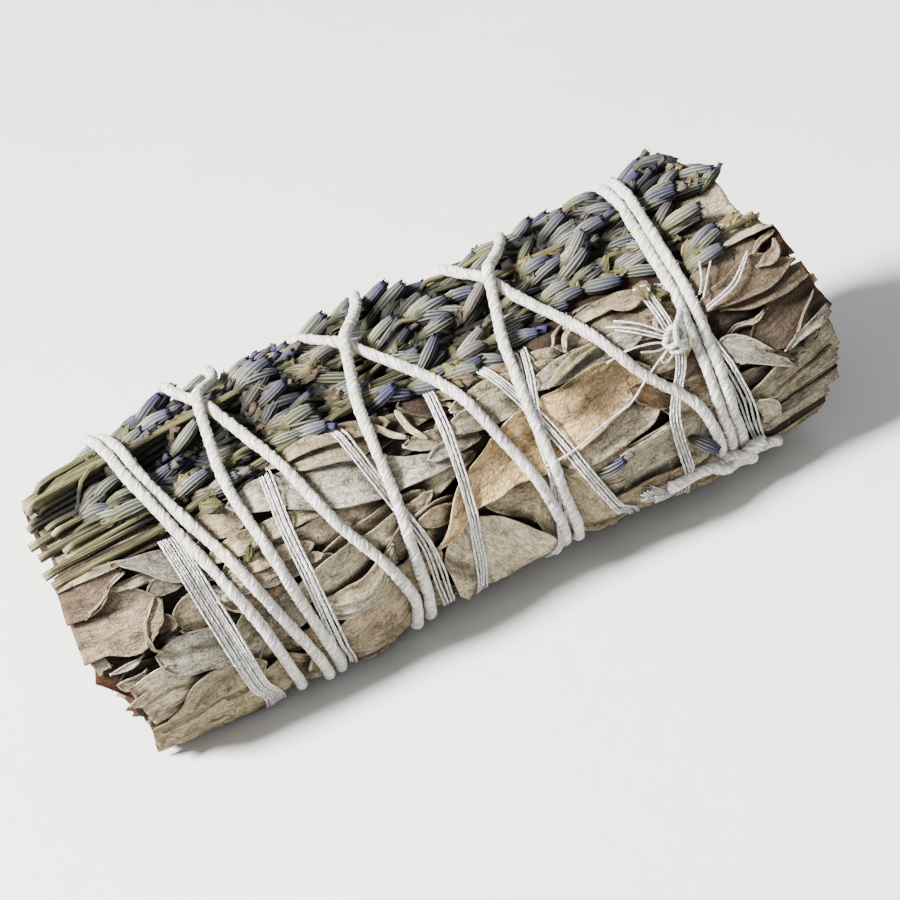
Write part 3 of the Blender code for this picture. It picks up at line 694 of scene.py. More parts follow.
# Leaves that show, from the lowest to the highest.
# (name, its two ends, tint, roll of its two margins, crumple, then its centreline's places (x, angle, width))
TT, CT, TC, CC = ("tip", "tip"), ("cut", "tip"), ("tip", "cut"), ("cut", "cut")
PT, TP, PP = ("point", "tip"), ("tip", "point"), ("point", "point")
LEAVES = (
    ("base_leaf_front", CC, "grey", 0.6, 0.6, 0.4, (-53, -66, 13), (50, -63, 13)),
    ("base_leaf_back", CC, "beige", 0.6, 0.6, 0.4, (-50, -114, 13), (53, -117, 13)),
    ("base_leaf_middle", TT, "grey", 0.6, 0.6, 0.3, (-46, -91, 12), (46, -89, 12)),
    ("leaf_top_left", CT, "pink", 0.4, 0.4, 0.3, (-55, 80, 13), (-40, 82, 15), (-4, 84, 8)),
    ("leaf_top_middle", TT, "grey", 0.4, 0.4, 0.3, (-30, 112, 8), (0, 111, 15), (26, 110, 8)),
    ("leaf_top_back", CT, "beige", 0.5, 0.4, 0.4, (-55, 128, 12), (-40, 129, 14), (-20, 131, 8)),
    ("leaf_back_high_left", CT, "grey", 0.6, 0.5, 0.5, (-56, 152, 12), (-35, 151, 15), (-2, 149, 8)),
    ("leaf_back_high_right", TC, "beige", 0.6, 0.5, 0.5, (2, 150, 8), (30, 152, 15), (56, 153, 13)),
    ("leaf_back_low_left", CT, "beige", 0.6, 0.5, 0.5, (-54, 218, 12), (-35, 218, 14), (-8, 219, 8)),
    ("leaf_back_low_right", TC, "grey", 0.5, 0.6, 0.5, (-4, 219, 8), (30, 218, 14), (55, 218, 12)),
    ("leaf_back_middle_left", CT, "pink", 0.6, 0.6, 0.5, (-55, 182, 13), (-35, 184, 16), (-4, 186, 8)),
    ("leaf_back_middle_right", TC, "grey", 0.6, 0.6, 0.5, (-8, 190, 8), (25, 187, 16), (56, 184, 14)),
    ("leaf_back_over", TT, "silver", 0.6, 0.6, 0.4, (-34, 206, 7), (-4, 196, 12), (26, 168, 7)),
    # painted shade: a dark umber leaf just under the lavender, for its shadowed gaps
    ("leaf_top_front", TT, "umber", 0.4, 0.4, 0.4, (-4, 60, 5), (10, 58, 9), (30, 60, 9), (44, 60, 5)),
    ("leaf_top_right", TC, "cream", 0.4, 0.4, 0.3, (37, 84, 7), (44, 87, 11), (54, 88, 12)),
    # the left end
    ("leaf_left_bottom", CT, "beige", 0.6, 0.5, 0.35, (-53.4, -36, 13), (-42, -37, 13), (-28, -39, 9)),
    ("leaf_left_dark", CT, "ember", 0.4, 0.4, 0.5, (-56.6, 20, 6), (-50, 12, 10), (-42, 8, 5)),
    # painted shade: a near-black sheet for a shadowed slit
    ("leaf_left_slit", TT, "soot", 0.2, 0.2, 0.3, (-54.5, 9, 2), (-51, 8.5, 3.6), (-47, 8, 2)),
    ("leaf_left_small", CT, "grey", 0.2, 0.2, 0.3, (-57.2, 18, 2.6), (-56, 18.6, 2.6), (-54.8, 16, 0.6)),
    ("leaf_left_flap", TT, "silver", 0.3, 0.3, 0.3, (-55.4, 13.4, 0.8), (-52.6, 13.2, 1.5),
     (-50.2, 14.6, 0.5)),
    ("leaf_left_edge", TT, "grey", 0.3, 0.3, 0.5, (-55.2, 8.2, 1.6), (-53.4, 6, 2.4), (-50.6, 8.6, 0.5)),
    ("leaf_left_low", CT, "cream", 0.3, 0.3, 0.2, (-53.4, -8.5, 9.6), (-49, -7, 9.8), (-45, -8.5, 8),
     (-41, -10, 6), (-35, -10, 2.4)),
    ("leaf_left_bit", TT, "pink", 0.3, 0.3, 0.5, (-54.8, -4.6, 1.6), (-53.2, -2.6, 2.2), (-51.8, 1.4, 0.8)),
    ("leaf_left_fold", CT, "beige", 0.4, 0.4, 0.3, (-53, -27.5, 4), (-47, -23, 6), (-42.6, -16.4, 8),
     (-35.5, -16, 5)),
    ("leaf_left_crumpled", TT, "beige", 0.4, 0.4, 0.6, (-45, 22, 4.5), (-41, 20, 6.5), (-37, 17, 6),
     (-33, 13, 3.5)),
    ("leaf_left_curled", TT, "silver", 0.3, 0.4, 0.2, (-49, 12.6, 2.2), (-47, 9.6, 4.8), (-43, 6.5, 5.6),
     (-38, 1, 5), (-31, -3, 3.4)),
    ("leaf_left_tan", TT, "peat", 0.2, 0.2, 0.5, (-48.2, 21.5, 2), (-46, 22.5, 3.4), (-44.2, 21, 2.4)),
    # painted shade: a near-black sheet for a shadowed pit
    ("leaf_left_pit", TT, "soot", 0.1, 0.1, 0.1, (-48.3, 18, 0.6), (-46.4, 17.8, 1.2), (-44.2, 18.8, 0.5)),
    ("leaf_left_shaded", CT, "umber", 0.4, 0.4, 0.3, (-56.4, 57, 4), (-48, 57.5, 3.5), (-40, 57, 4)),
    ("leaf_left_wide", CT, "pink", 0.3, 0.3, 0.2, (-57.6, 35, 8.4), (-54, 33.5, 8), (-50, 31.4, 8.4),
     (-47, 31.2, 6.4), (-44.8, 31.5, 4)),
    ("leaf_left_rim", TT, "beige", 0.2, 0.2, 0.1, (-45.2, 34.6, 0.5), (-47.2, 30, 0.7), (-48.9, 22, 0.7),
     (-48.9, 16.5, 0.7), (-47.4, 13, 0.4)),
    ("leaf_left_sliver", TT, "grey", 0.2, 0.2, 0.2, (-50.5, 44, 1.2), (-46, 43, 2), (-41, 41, 2)),
    ("leaf_left_high", CT, "bark", 0.3, 0.2, 0.3, (-57, 47.5, 5.4), (-53.4, 46, 4.8), (-50.4, 48.4, 2.6),
     (-47.8, 50.4, 0.8)),
    ("leaf_left_over", CT, "pink", 0.2, 0.2, 0.4, (-57, 54.5, 1.6), (-52, 53.2, 1.8), (-45.5, 51.8, 0.8)),
    ("leaf_left_seam", TT, "beige", 0.1, 0.1, 0.3, (-55.2, 38.2, 0.2), (-52, 41.6, 0.35), (-49.6, 46.4, 0.4),
     (-47.6, 48.2, 0.3)),
    ("leaf_left_grey", TT, "slate", 0.3, 0.3, 0.3, (-46.2, 37, 2.2), (-44, 36.6, 3.2), (-41, 34, 2.4)),
    ("leaf_left_pointed", PT, "dove", 0.2, 0.3, 0.3, (-48.9, 52.8, 0.3), (-46, 49.6, 2.2), (-42, 43.4, 4.6),
     (-36, 37, 5.2), (-30, 33, 4)),
    # left of the middle
    ("leaf_middle_floor", TT, "beige", 0.5, 0.5, 0.4, (-30, -36, 8), (-18, -37, 9), (-6, -37, 8)),
    ("leaf_middle_plain", TT, "grey", 0.5, 0.5, 0.4, (-38, 4, 6), (-30, 3, 7), (-20, 5, 8), (-8, 8, 7)),
    ("leaf_middle_brown", TT, "tan", 0.4, 0.4, 0.4, (-38, 20, 4), (-34, 18, 5), (-29, 14, 3)),
    ("leaf_middle_under", TT, "cream", 0.5, 0.5, 0.3, (-36, 30, 4), (-28, 26, 6), (-20, 22, 7),
     (-12, 21, 6.4), (-4, 25, 4), (3, 29, 2)),
    ("leaf_middle_between", TT, "beige", 0.5, 0.5, 0.3, (-26, 12, 3), (-20, 15, 4.6), (-13, 19, 4.6),
     (-6, 24, 2.6)),
    ("leaf_stack_1", TT, "silver", 0.4, 0.4, 0.3, (-37, 21, 1.6), (-29, 19.5, 2.6), (-21, 17, 2)),
    ("leaf_stack_2", TT, "pink", 0.4, 0.4, 0.3, (-36.5, 24.5, 1.6), (-30, 23, 2.6), (-22.5, 20, 2)),
    ("leaf_stack_3", TT, "beige", 0.4, 0.4, 0.3, (-35.5, 28.5, 1.8), (-30, 28, 2.8), (-23, 25, 2)),
    ("leaf_middle_slant", TT, "cream", 0.4, 0.4, 0.3, (-28, 7, 4.2), (-22, 8.5, 6.2), (-17, 11.4, 5.4),
     (-10, 17.6, 3.6), (-5, 22.5, 1.6)),
    ("leaf_middle_right", TT, "beige", 0.5, 0.5, 0.3, (-15, 6, 4), (-10, 8, 6), (-5, 10, 6), (0, 9, 3)),
    ("leaf_fan_1", TT, "beige", 0.4, 0.4, 0.3, (-26, -14, 3), (-21, -12, 4), (-16, -6, 3), (-13.4, 1, 1.4)),
    ("leaf_middle_corner", TT, "tan", 0.5, 0.5, 0.3, (-31, -14, 3), (-27.5, -18, 4.4), (-23.5, -24, 3)),
    ("leaf_middle_low", TT, "pink", 0.5, 0.5, 0.3, (-25.4, -22, 3), (-20, -18.5, 7), (-15, -14, 8),
     (-10, -8, 6.5), (-7, -3, 4)),
    ("leaf_fan_2", TT, "grey", 0.5, 0.5, 0.2, (-26, -8.5, 1.8), (-21, -8, 2.8), (-16.5, -2, 2.4),
     (-13.4, 4.5, 1.2)),
    ("leaf_fan_3", TT, "silver", 0.5, 0.5, 0.2, (-26, -4.5, 1.8), (-21, -4.5, 2.8), (-16.5, 1.5, 2.4),
     (-13.2, 8, 1.2)),
    ("leaf_fan_4", TT, "beige", 0.5, 0.5, 0.2, (-26, 0.5, 1.8), (-20, 0.5, 2.8), (-16, 5, 2.2),
     (-13.2, 11, 1.2)),
    ("leaf_middle_taupe", TT, "pink", 0.4, 0.4, 0.3, (-37, 54, 4), (-33, 50, 5), (-29, 46, 3)),
    ("leaf_middle_pale", TT, "beige", 0.5, 0.5, 0.2, (-37, 37.5, 2.4), (-30, 37.5, 3.6), (-24, 37, 3),
     (-19, 34.5, 1.4)),
    ("leaf_middle_grey", TT, "silver", 0.4, 0.4, 0.15, (-31.5, 54, 2.6), (-25, 50.5, 5.6), (-20, 46, 6.4),
     (-12, 38.5, 5.6), (-5, 33, 4), (1.5, 29, 1.6)),
    ("leaf_middle_tan", TT, "cream", 0.7, 0.6, 0.2, (-22.5, 60, 2), (-18, 57.2, 4.8), (-13, 53.8, 4.8),
     (-8.6, 51, 2.4)),
    ("leaf_middle_top", TT, "beige", 0.6, 0.6, 0.3, (-24, 62, 3), (-14, 60, 4), (-6, 56, 3)),
    ("leaf_small_1", TT, "beige", 0.4, 0.4, 0.5, (-6, 44, 2), (-2, 41, 3.4), (3, 39, 2)),
    ("leaf_small_2", TT, "silver", 0.4, 0.4, 0.5, (-4, 34.5, 2), (0, 35, 3), (5, 34, 1.6)),
    ("stalk_1", TT, "cream", 0.7, 0.7, 0.1, (-8.8, 58, 1.4), (-7, 51, 1.7), (-4.8, 46, 1.2)),
    ("stalk_2", TT, "cream", 0.7, 0.7, 0.1, (-4.6, 59, 1.4), (-4.2, 50, 1.8), (-2.6, 42, 1.2)),
    ("stalk_3", TT, "cream", 0.7, 0.7, 0.1, (0.6, 56, 1.3), (2.8, 50, 1.7), (2.6, 42.5, 1.6), (0, 40, 1.1)),
    # right of the middle
    ("leaf_right_low", TT, "beige", 0.5, 0.5, 0.4, (10, -34, 7), (20, -32, 9), (30, -34, 9), (41, -36, 6)),
    ("leaf_right_middle", TT, "grey", 0.5, 0.5, 0.35, (9, -8, 5), (16, -9, 7.6), (24, -10, 8.4), (31, -10, 8),
     (39, -9, 4)),
    ("leaf_right_folded", TT, "pink", 0.5, 0.5, 0.4, (14, -19, 1.6), (22, -19, 3), (31, -21, 2)),
    ("leaf_low_bed", TT, "beige", 0.5, 0.5, 0.3, (-1, 5, 3), (3, -2, 6), (7, -12, 7), (9, -24, 6)),
    ("leaf_low_join", TT, "beige", 0.5, 0.5, 0.3, (-9, 14, 2.5), (-5.5, 12, 4), (-1.5, 8, 3)),
    ("leaf_low_round", TC, "beige", 0.5, 0.5, 0.2, (0.5, 9, 3), (5, 6.5, 7), (10, 0, 9), (12.5, -15, 9),
     (14, -34, 9)),
    ("leaf_low_square", TC, "cream", 0.4, 0.4, 0.12, (-3, 5.5, 4), (-2.6, 0, 8), (-1, -15, 11.6),
     (1.4, -30, 14), (2.6, -46, 14)),
    ("leaf_right_tan", TT, "beige", 0.4, 0.4, 0.4, (29, 13, 3), (33, 9, 6), (39, 5, 5)),
    ("leaf_right_olive", TT, "beige", 0.5, 0.5, 0.3, (11, 9, 2), (16, 6, 4), (23, 3.5, 2.6)),
    ("leaf_right_grey", TT, "cream", 0.4, 0.5, 0.2, (13, 8, 2.4), (19, 11.5, 5), (25, 13, 5), (30, 15, 3)),
    ("leaf_right_torn", TT, "cream", 0.3, -0.4, 0.7, (21, 1.5, 1.4), (25, -0.5, 2.6), (30, 1.5, 1.6)),
    ("leaf_band_1", TT, "beige", 0.5, 0.6, 0.35, (0, 57, 2.6), (8, 56, 4), (14, 53.5, 4), (21, 50.5, 2)),
    ("leaf_right_bed", TT, "taupe", 0.3, 0.3, 0.4, (31, 24, 3), (36, 24, 5.6), (41, 22, 4)),
    ("leaf_knot_bed", TT, "beige", 0.4, 0.4, 0.5, (24, 34, 3), (30, 35, 7), (38, 33, 6)),
    ("leaf_right_crumpled", TT, "fawn", 0.6, -0.5, 0.75, (19, 53, 5), (26, 54.5, 8), (32, 50, 8),
     (38, 46, 5)),
    ("leaf_band_2", TT, "beige", 0.5, 0.6, 0.35, (2, 48, 2.4), (9, 48.5, 4), (15, 47, 3.6), (20, 44.5, 1.6)),
    ("leaf_band_3", TT, "grey", 0.5, 0.5, 0.3, (0, 41, 2.4), (8, 41.5, 4.4), (14, 40.5, 4), (22, 39, 2)),
    ("leaf_band_4", TT, "silver", 0.5, 0.5, 0.3, (13, 42, 2), (19, 42.5, 4), (25, 43, 4), (31, 41, 2)),
    ("leaf_band_5", TT, "beige", 0.5, 0.6, 0.4, (22, 60, 2), (28, 60.5, 3.4), (35, 59, 2)),
    ("stalk_4", TT, "beige", 0.7, 0.7, 0.1, (15.4, 38.6, 1.4), (20, 43.4, 2.2), (25.4, 46.6, 1.8)),
    ("stalk_5", TT, "cream", 0.7, 0.7, 0.1, (24, 60, 1.2), (21.4, 55, 1.6), (20, 48, 1.2)),
    ("stalk_6", TT, "grey", 0.7, 0.7, 0.1, (36.6, 40, 1), (34, 44.6, 1.5), (33, 40.6, 1.5), (36, 37.6, 1)),
    ("stalk_7", TT, "beige", 0.7, 0.7, 0.1, (28.6, 58, 1.4), (31.5, 54, 2.2), (35.6, 58.6, 1.8)),
    ("leaf_golden", PT, "gold", 0.3, 0.3, 0.14, (-7.5, -1.5, 1), (-5, 3, 2.4), (-1, 13, 4.2), (4, 18, 6),
     (10, 21.6, 8.6), (18, 25, 8.4), (25, 28.5, 6), (30, 28, 2.4)),
    ("leaf_golden_patch", PP, "rust", 0.1, 0.1, 0.35, (25.6, 24.5, 0.8), (27.4, 20.5, 3.2), (29.4, 14.5, 2.8),
     (31, 7, 0.4)),
    # the right end
    ("leaf_end_floor", TC, "beige", 0.5, 0.5, 0.4, (41, -44, 9), (55, -44, 9)),
    # painted shade: two near-black sheets for shadowed gaps at the right end
    ("leaf_end_under", TC, "soot", 0.2, 0.2, 0.3, (42, -30, 3), (48, -30, 4), (54.2, -29, 4)),
    ("leaf_end_dark", TC, "soot", 0.4, 0.4, 0.5, (40, 28, 15), (50, 29, 14), (54.5, 30, 10)),
    ("leaf_end_flap", TC, "gold", 0.4, 0.4, 0.6, (53.5, 30, 2.4), (56, 30.6, 2.2), (57.8, 31.2, 1.8)),
    ("leaf_end_bottom", TC, "moss", 0.5, 0.5, 0.3, (42, -25, 3), (48, -23.2, 4), (54.8, -20.5, 4)),
    ("leaf_end_second", TC, "ash", 0.5, 0.5, 0.45, (44, -19, 3.4), (48.5, -15, 4.6), (52.5, -12.6, 4.8),
     (56.2, -12, 4.6)),
    ("leaf_end_third", TC, "moss", 0.4, 0.5, 0.2, (43, -10, 2), (48, -8.6, 2.6), (52, -6.4, 2.8),
     (56.4, -5.4, 2.6)),
    ("leaf_end_low", TC, "moss", 0.4, 0.4, 0.45, (41.5, -6.5, 2.4), (46, -2.6, 4.6), (50, 1.4, 6),
     (54, 6.2, 5.6), (57, 7.6, 5)),
    # painted shade: two thin dark strips for the shadowed seams between leaves
    ("leaf_end_seam", TT, "peat", 0.1, 0.1, 0.2, (45, -6.4, 0.2), (47.6, -4.2, 0.42), (50.4, -1.4, 0.5),
     (55.8, 2.4, 0.5)),
    ("leaf_end_seam_low", TT, "umber", 0.1, 0.1, 0.2, (46.2, -15.6, 0.2), (50.2, -14.2, 0.45),
     (56.2, -10.8, 0.5)),
    ("leaf_end_round", TT, "grey", 0.3, 0.3, 0.15, (42.6, -6.6, 2), (44.4, -12, 3.6), (44.8, -18, 3.4),
     (43.6, -23, 1.6)),
    ("leaf_end_middle", TC, "peat", 0.4, 0.4, 0.35, (44.4, 19.4, 2.2), (48, 20.5, 5.2), (53, 24.2, 6.8),
     (57.4, 27, 6.4)),
    ("leaf_end_strip", TC, "ash", 0.3, 0.3, 0.2, (48.4, 11, 1), (52, 14.4, 1.5), (57, 17.2, 1.8)),
    ("leaf_end_edge", TT, "taupe", 0.1, 0.1, 0.2, (50.4, 14.4, 0.2), (52.8, 19.8, 0.4), (56.4, 26.4, 0.5)),
    ("leaf_end_wavy", TT, "taupe", 0.2, 0.2, 0.7, (42, 25, 0.6), (44, 27.4, 0.9), (46.5, 26.4, 0.8),
     (48.8, 29, 0.5)),
    ("leaf_end_lower", TC, "bark", 0.4, 0.4, 0.35, (42.6, 36.4, 0.8), (47.5, 34.4, 3.2), (52, 34.8, 3.8),
     (56.6, 36.4, 3)),
    ("leaf_end_shade", TC, "ember", 0.4, 0.4, 0.4, (48, 52, 5), (52, 53, 6), (56, 53, 6)),
    ("leaf_end_top", TT, "taupe", 0.3, 0.3, 0.3, (39.6, 49.5, 2), (44, 51.5, 4.2), (49, 54, 4.2),
     (53, 55.6, 1.4)),
    ("leaf_end_tuck", TT, "pink", 0.4, 0.4, 0.3, (50.6, 50.6, 0.8), (52.6, 54.6, 1.4), (55.8, 58, 1.6)),
    ("leaf_end_ridge", TC, "cream", 0.5, 0.6, 0.3, (43, 64, 2.4), (49, 65, 4.4), (55.6, 66.5, 5)),
    ("leaf_end_high", TP, "bark", 0.4, 0.4, 0.3, (39.6, 40.5, 2), (44, 41.2, 3.8), (50, 42.2, 4.8),
     (54, 41.8, 2.6), (55.8, 41.6, 0.6)),
    ("leaf_end_rolled", TT, "pink", 0.6, 0.6, 0.6, (50, 44.8, 1), (52.2, 45.6, 2.8), (53.8, 48, 2.2),
     (54.6, 53, 1.4)),
    ("leaf_end_narrow", TP, "ash", 0.2, 0.2, 0.1, (40, 23, 4.6), (43, 18.6, 4), (46, 11.6, 2.4),
     (49.8, 2.4, 0.3)),
    ("leaf_end_torn", PP, "umber", 0.1, 0.1, 0.7, (45.8, 14.8, 0.3), (47.6, 11.4, 0.8), (49.8, 5.4, 0.3)),
)
# Leaves under the ones that show: (seed, count, least radius, half lengths, widths, tints)
FILLERS = (
    (1, 18, 14.0, (18, 27), (8, 13), ("brown", "tan", "pink")),
    (2, 24, 15.6, (18, 27), (8, 13), ("tan", "pink", "beige")),
    (3, 34, 17.0, (14, 24), (7, 12), ("grey", "pink", "beige", "tan", "tan", "beige")),
    (4, 96, 17.9, (6, 14), (3.5, 7.5), ("grey", "pink", "beige", "tan", "slate", "beige", "grey")),
)
GOLDEN_ANGLE = 137.5


def lay_fillers(surface, seed, count, reaches, widths, tints):
    """Leaves all round under the ones that show, most of them along the bundle."""
    luck = np.random.default_rng(seed)
    for k in range(count):
        angle = (k * GOLDEN_ANGLE + luck.uniform(-14, 14)) % TURN
        turn = luck.normal(0, 8)
        x = luck.uniform(-54, 54)
        reach = luck.uniform(*reaches)
        left, right = ends_at(angle)
        left, right = left + 1.1, right - 0.6
        first, last = max(x - reach, left), min(x + reach, right)
        ends = ("cut" if first == left else "tip", "cut" if last == right else "tip")
        margins = luck.uniform(0.4, 0.8, 2)
        wide = luck.uniform(*widths)
        middle = (first * 0.6 + last * 0.4, angle + luck.normal(0, 4), wide)
        places = ((first, angle - turn, wide * 0.6), middle, (last, angle + turn, wide * 0.6))
        crumple, tint = luck.uniform(0.3, 0.6), tints[luck.integers(len(tints))]
        lay_leaf(surface, f"filler_{seed}_{k}", places, ends, tuple(margins), crumple, tint,
                 veins=luck.uniform(0.1, 0.6), across=11, step=1.5, curl=0.35)


def lay_leaves(surface):
    """The hidden leaves, a bed for the lavender to stand on, and the leaves that show."""
    for seed, count, base, *rest in FILLERS:
        surface.top = np.maximum(surface.top, base)
        lay_fillers(surface, seed, count, *rest)
    x, angle = surface.places()
    bed = 18.2 + 1.3 * ease((angle - 88) / 16) * ease((158 - angle) / 18) * ease((x + 52) / 12)
    surface.top = np.maximum(surface.top, bed)
    for name, ends, tint, left, right, crumple, *places in LEAVES:
        widest = max(width for _, _, width in places)
        lay_leaf(
            surface, name, places, ends, (left, right), crumple, tint,
            veins=0.85 if widest > 5 else 0.25 * (widest > 2), across=int(10 + 1.4 * widest), step=0.6,
            curl=0.16 + 0.045 * widest, nodes=(name,) if name in CAD_LEAVES else (),
        )


# ------------------------------------------------------------------ routes of the bindings

TWINE_RADIUS = 0.78
# Where each turn passes these angles up the front and over the top, x by x
TWINE_ANGLES = (-48, -30, 0, 30, 60, 90, 120)
TWINE_PASSES = (
    (36.4, 36.6, 35.0, 28.0, 22.9, 17.2, 12.8),
    (11.3, 10.9, 9.5, 6.6, 3.0, -4.0, -11.4),
    (-12.9, -12.6, -14.6, -19.3, -22.4, -26.4, -30.8),
    (-27.5, -28.3, -30.9, -33.9, -37.5, -40.3, -41.6),
    (-31.6, -32.4, -33.9, -36.6, -39.5, -42.1, -43.2),
    (-25.4, -26.0, -27.6, -29.0, -30.0, -28.4, -23.4),
    (-10.6, -10.5, -10.9, -10.1, -9.2, -6.2, 0.0),
    (13.6, 13.0, 11.9, 11.9, 13.2, 16.6, 23.0),
    (38.4, 38.6, 37.5, 37.8, 38.5, 39.1, 40.0),
    (40.3, 40.4, 39.2, 39.5, 40.1, 40.7, 41.6),
)
# Angle where it starts, and (angle, x) places after the last pass
TWINE_START = -36.0
TWINE_LAST = ((180.0, 43.0), (304.0, 42.9))
THREAD_ANGLES = (-48, -30, 0, 30, 60, 90, 120)
THREAD_PASSES = (
    (46.4, 42.6, 41.4, 39.4, 37.8, 36.0, 34.5),
    (22.6, 20.0, 16.0, 12.9, 8.8, 7.0, 5.8),
    (-7.6, -8.0, -8.6, -11.0, -13.2, -15.0, -16.4),
    (-35.8, -37.3, -38.6, -39.7, -40.5, -41.0, -41.0),
    (-24.0, -24.8, -25.4, -25.6, -24.5, -23.4, -22.2),
    (-2.6, -2.1, -1.6, -0.3, 0.8, 1.8, 2.4),
    (8.2, 9.8, 11.2, 12.4, 15.4, 17.0, 19.0),
    (30.4, 30.5, 30.4, 34.8, 34.2, 32.6, 32.0),
)
THREAD_START = -54.0
THREAD_END = 62.0
# The back of each turn runs between these angles
BACK_START = 145.0
BACK_END = 228.0
# Degrees from one point of a route to the next
FINE = 1.5


def route(angles, passes, first, last, extra=()):
    """(x, unwound angle) all along a binding, which goes up the front and down the back turn by turn."""
    at, xs = [], []
    for turn, row in enumerate(passes):
        at += [TURN * turn + a for a in angles]
        xs += row
        if turn + 1 < len(passes):
            at += [TURN * turn + BACK_START, TURN * turn + BACK_END]
            xs += [row[-1], passes[turn + 1][0]]
    for angle, x in extra:
        at.append(TURN * (len(passes) - 1) + angle)
        xs.append(x)
    angle = np.arange(first, TURN * (len(passes) - 1) + last, FINE)
    return spline(at, xs, angle), angle


twine_x, twine_angle = route(TWINE_ANGLES, TWINE_PASSES, TWINE_START, TWINE_LAST[-1][0], TWINE_LAST)
thread_x, thread_angle = route(THREAD_ANGLES, THREAD_PASSES, THREAD_START, THREAD_END)


def near_route(xs, angles, reach):
    """A map: 1 on the route, falling to 0 beside it."""
    field = np.zeros((COLUMNS, ROWS))
    cells = int(3 * reach / CELL)
    window = np.arange(-cells, cells + 1)
    for x, angle in zip(xs, angles):
        u, v = (x + X_REACH) / CELL, angle / TURN * ROWS
        i, j = int(round(u)) + window, int(round(v)) + window
        away = ((i - u)[:, None] ** 2 + (j - v)[None, :] ** 2) * CELL**2
        part = np.ix_(i % COLUMNS, j % ROWS)
        field[part] = np.maximum(field[part], np.exp(-away / (2 * reach**2)))
    return field


def pull_tight(angles, needed, rounds=300):
    """Radii of a taut line at least as far out as needed: it runs straight where nothing holds it out."""
    bend = 2 * math.cos(math.radians(angles[1] - angles[0]))
    limit = 1 / needed
    line = limit.copy()
    for _ in range(rounds):
        line[1:-1] = np.minimum(limit[1:-1], (line[:-2] + line[2:]) / bend)
    return 1 / line


def stack_turns(xs, angles, radii, half):
    """Raises each turn where it crosses or crowds an earlier one."""
    raised = radii.copy()
    places = np.stack([xs, arc(angles)], -1)
    girth = arc(TURN)
    for k in range(int(200 / FINE) + 1, len(xs)):
        earlier = slice(0, k - int(200 / FINE))
        apart = places[earlier] - places[k]
        apart[:, 1] = (apart[:, 1] + girth / 2) % girth - girth / 2
        distance = np.hypot(apart[:, 0], apart[:, 1])
        close = distance < 2 * half
        if close.any():
            reach = np.sqrt((2 * half) ** 2 - distance[close] ** 2) * 0.85
            raised[k] = max(raised[k], (raised[earlier][close] + reach).max())
    return raised


# ------------------------------------------------------------------ cotton

# Length along the cord of one turn of its plies
TWINE_PITCH = 4.2
THREAD_PITCH = 2.6
# How much wider the twine is along the surface than it is high
TWINE_FLAT = 1.06
FIBRE_RADIUS = 0.03


def frames_along(points):
    """Unit vectors along, away from the bundle's axis, and sideways, at each point of a line."""
    along = np.gradient(points, axis=0)
    along /= np.linalg.norm(along, axis=1, keepdims=True)
    out = points - np.array([0, CENTRE_Y * MM, AXIS_HEIGHT * MM])
    out[:, 0] = 0
    out -= along * np.sum(out * along, axis=1, keepdims=True)
    out /= np.linalg.norm(out, axis=1, keepdims=True)
    return along, out, np.cross(along, out)


def even(points, step):
    """The same line with its points this far apart, in millimetres."""
    lengths = np.linalg.norm(np.diff(points, axis=0), axis=1) / MM
    at = np.concatenate([[0], np.cumsum(lengths)])
    where = np.linspace(0, at[-1], max(3, int(at[-1] / step)))
    return np.stack([np.interp(where, at, points[:, k]) for k in range(3)], -1), where


def strand(points, radius, plies, pitch, step, sides, seed, flatten=1.0):
    """A twisted cord along a line: its points, faces, flat coordinates and depth of its grooves."""
    line, at = even(points, step)
    _, out, side = frames_along(line)
    phi = np.linspace(0, 2 * math.pi, sides, endpoint=False)[None, :]
    twist = (2 * math.pi * at / pitch + 1.1 * noise(at / 7, 0, seed))[:, None]
    lobe = 2 * math.pi / plies
    off = (phi + lobe / 2) % lobe - lobe / 2 + np.zeros_like(twist)
    centre = radius * (0.085 if plies == 3 else 0.06) * (1 + 0.6 * noise(at / 4, 6, seed))[:, None]
    own = radius - centre + 0.02 * radius
    shape = centre * np.cos(off) + np.sqrt(np.maximum(own**2 - (centre * np.sin(off)) ** 2, 0.01 * own**2))
    shape *= 1 + 0.09 * noise(at / 3.0, 2, seed)[:, None] + 0.10 * noise(at[:, None] / 0.8, phi * 2, seed + 1)
    turned = phi + twist
    round_out, round_side = (np.cos(turned) * shape)[..., None], (np.sin(turned) * shape * flatten)[..., None]
    ring = out[:, None, :] * round_out + side[:, None, :] * round_side
    points = (line[:, None, :] + ring * MM).reshape(-1, 3)
    flat = pairs(at[:, None], off * radius + 3.1 * np.floor((phi + lobe / 2) / lobe))
    groove = ease((np.abs(off) / (lobe / 2) - 0.62) / 0.38)
    return points, tube_faces(len(line), sides), flat.reshape(-1, 2), groove.ravel()


def twine(line, step, sides, seed):
    """A strand of the three-ply twine."""
    return strand(line, TWINE_RADIUS, 3, TWINE_PITCH, step, sides, seed, TWINE_FLAT)


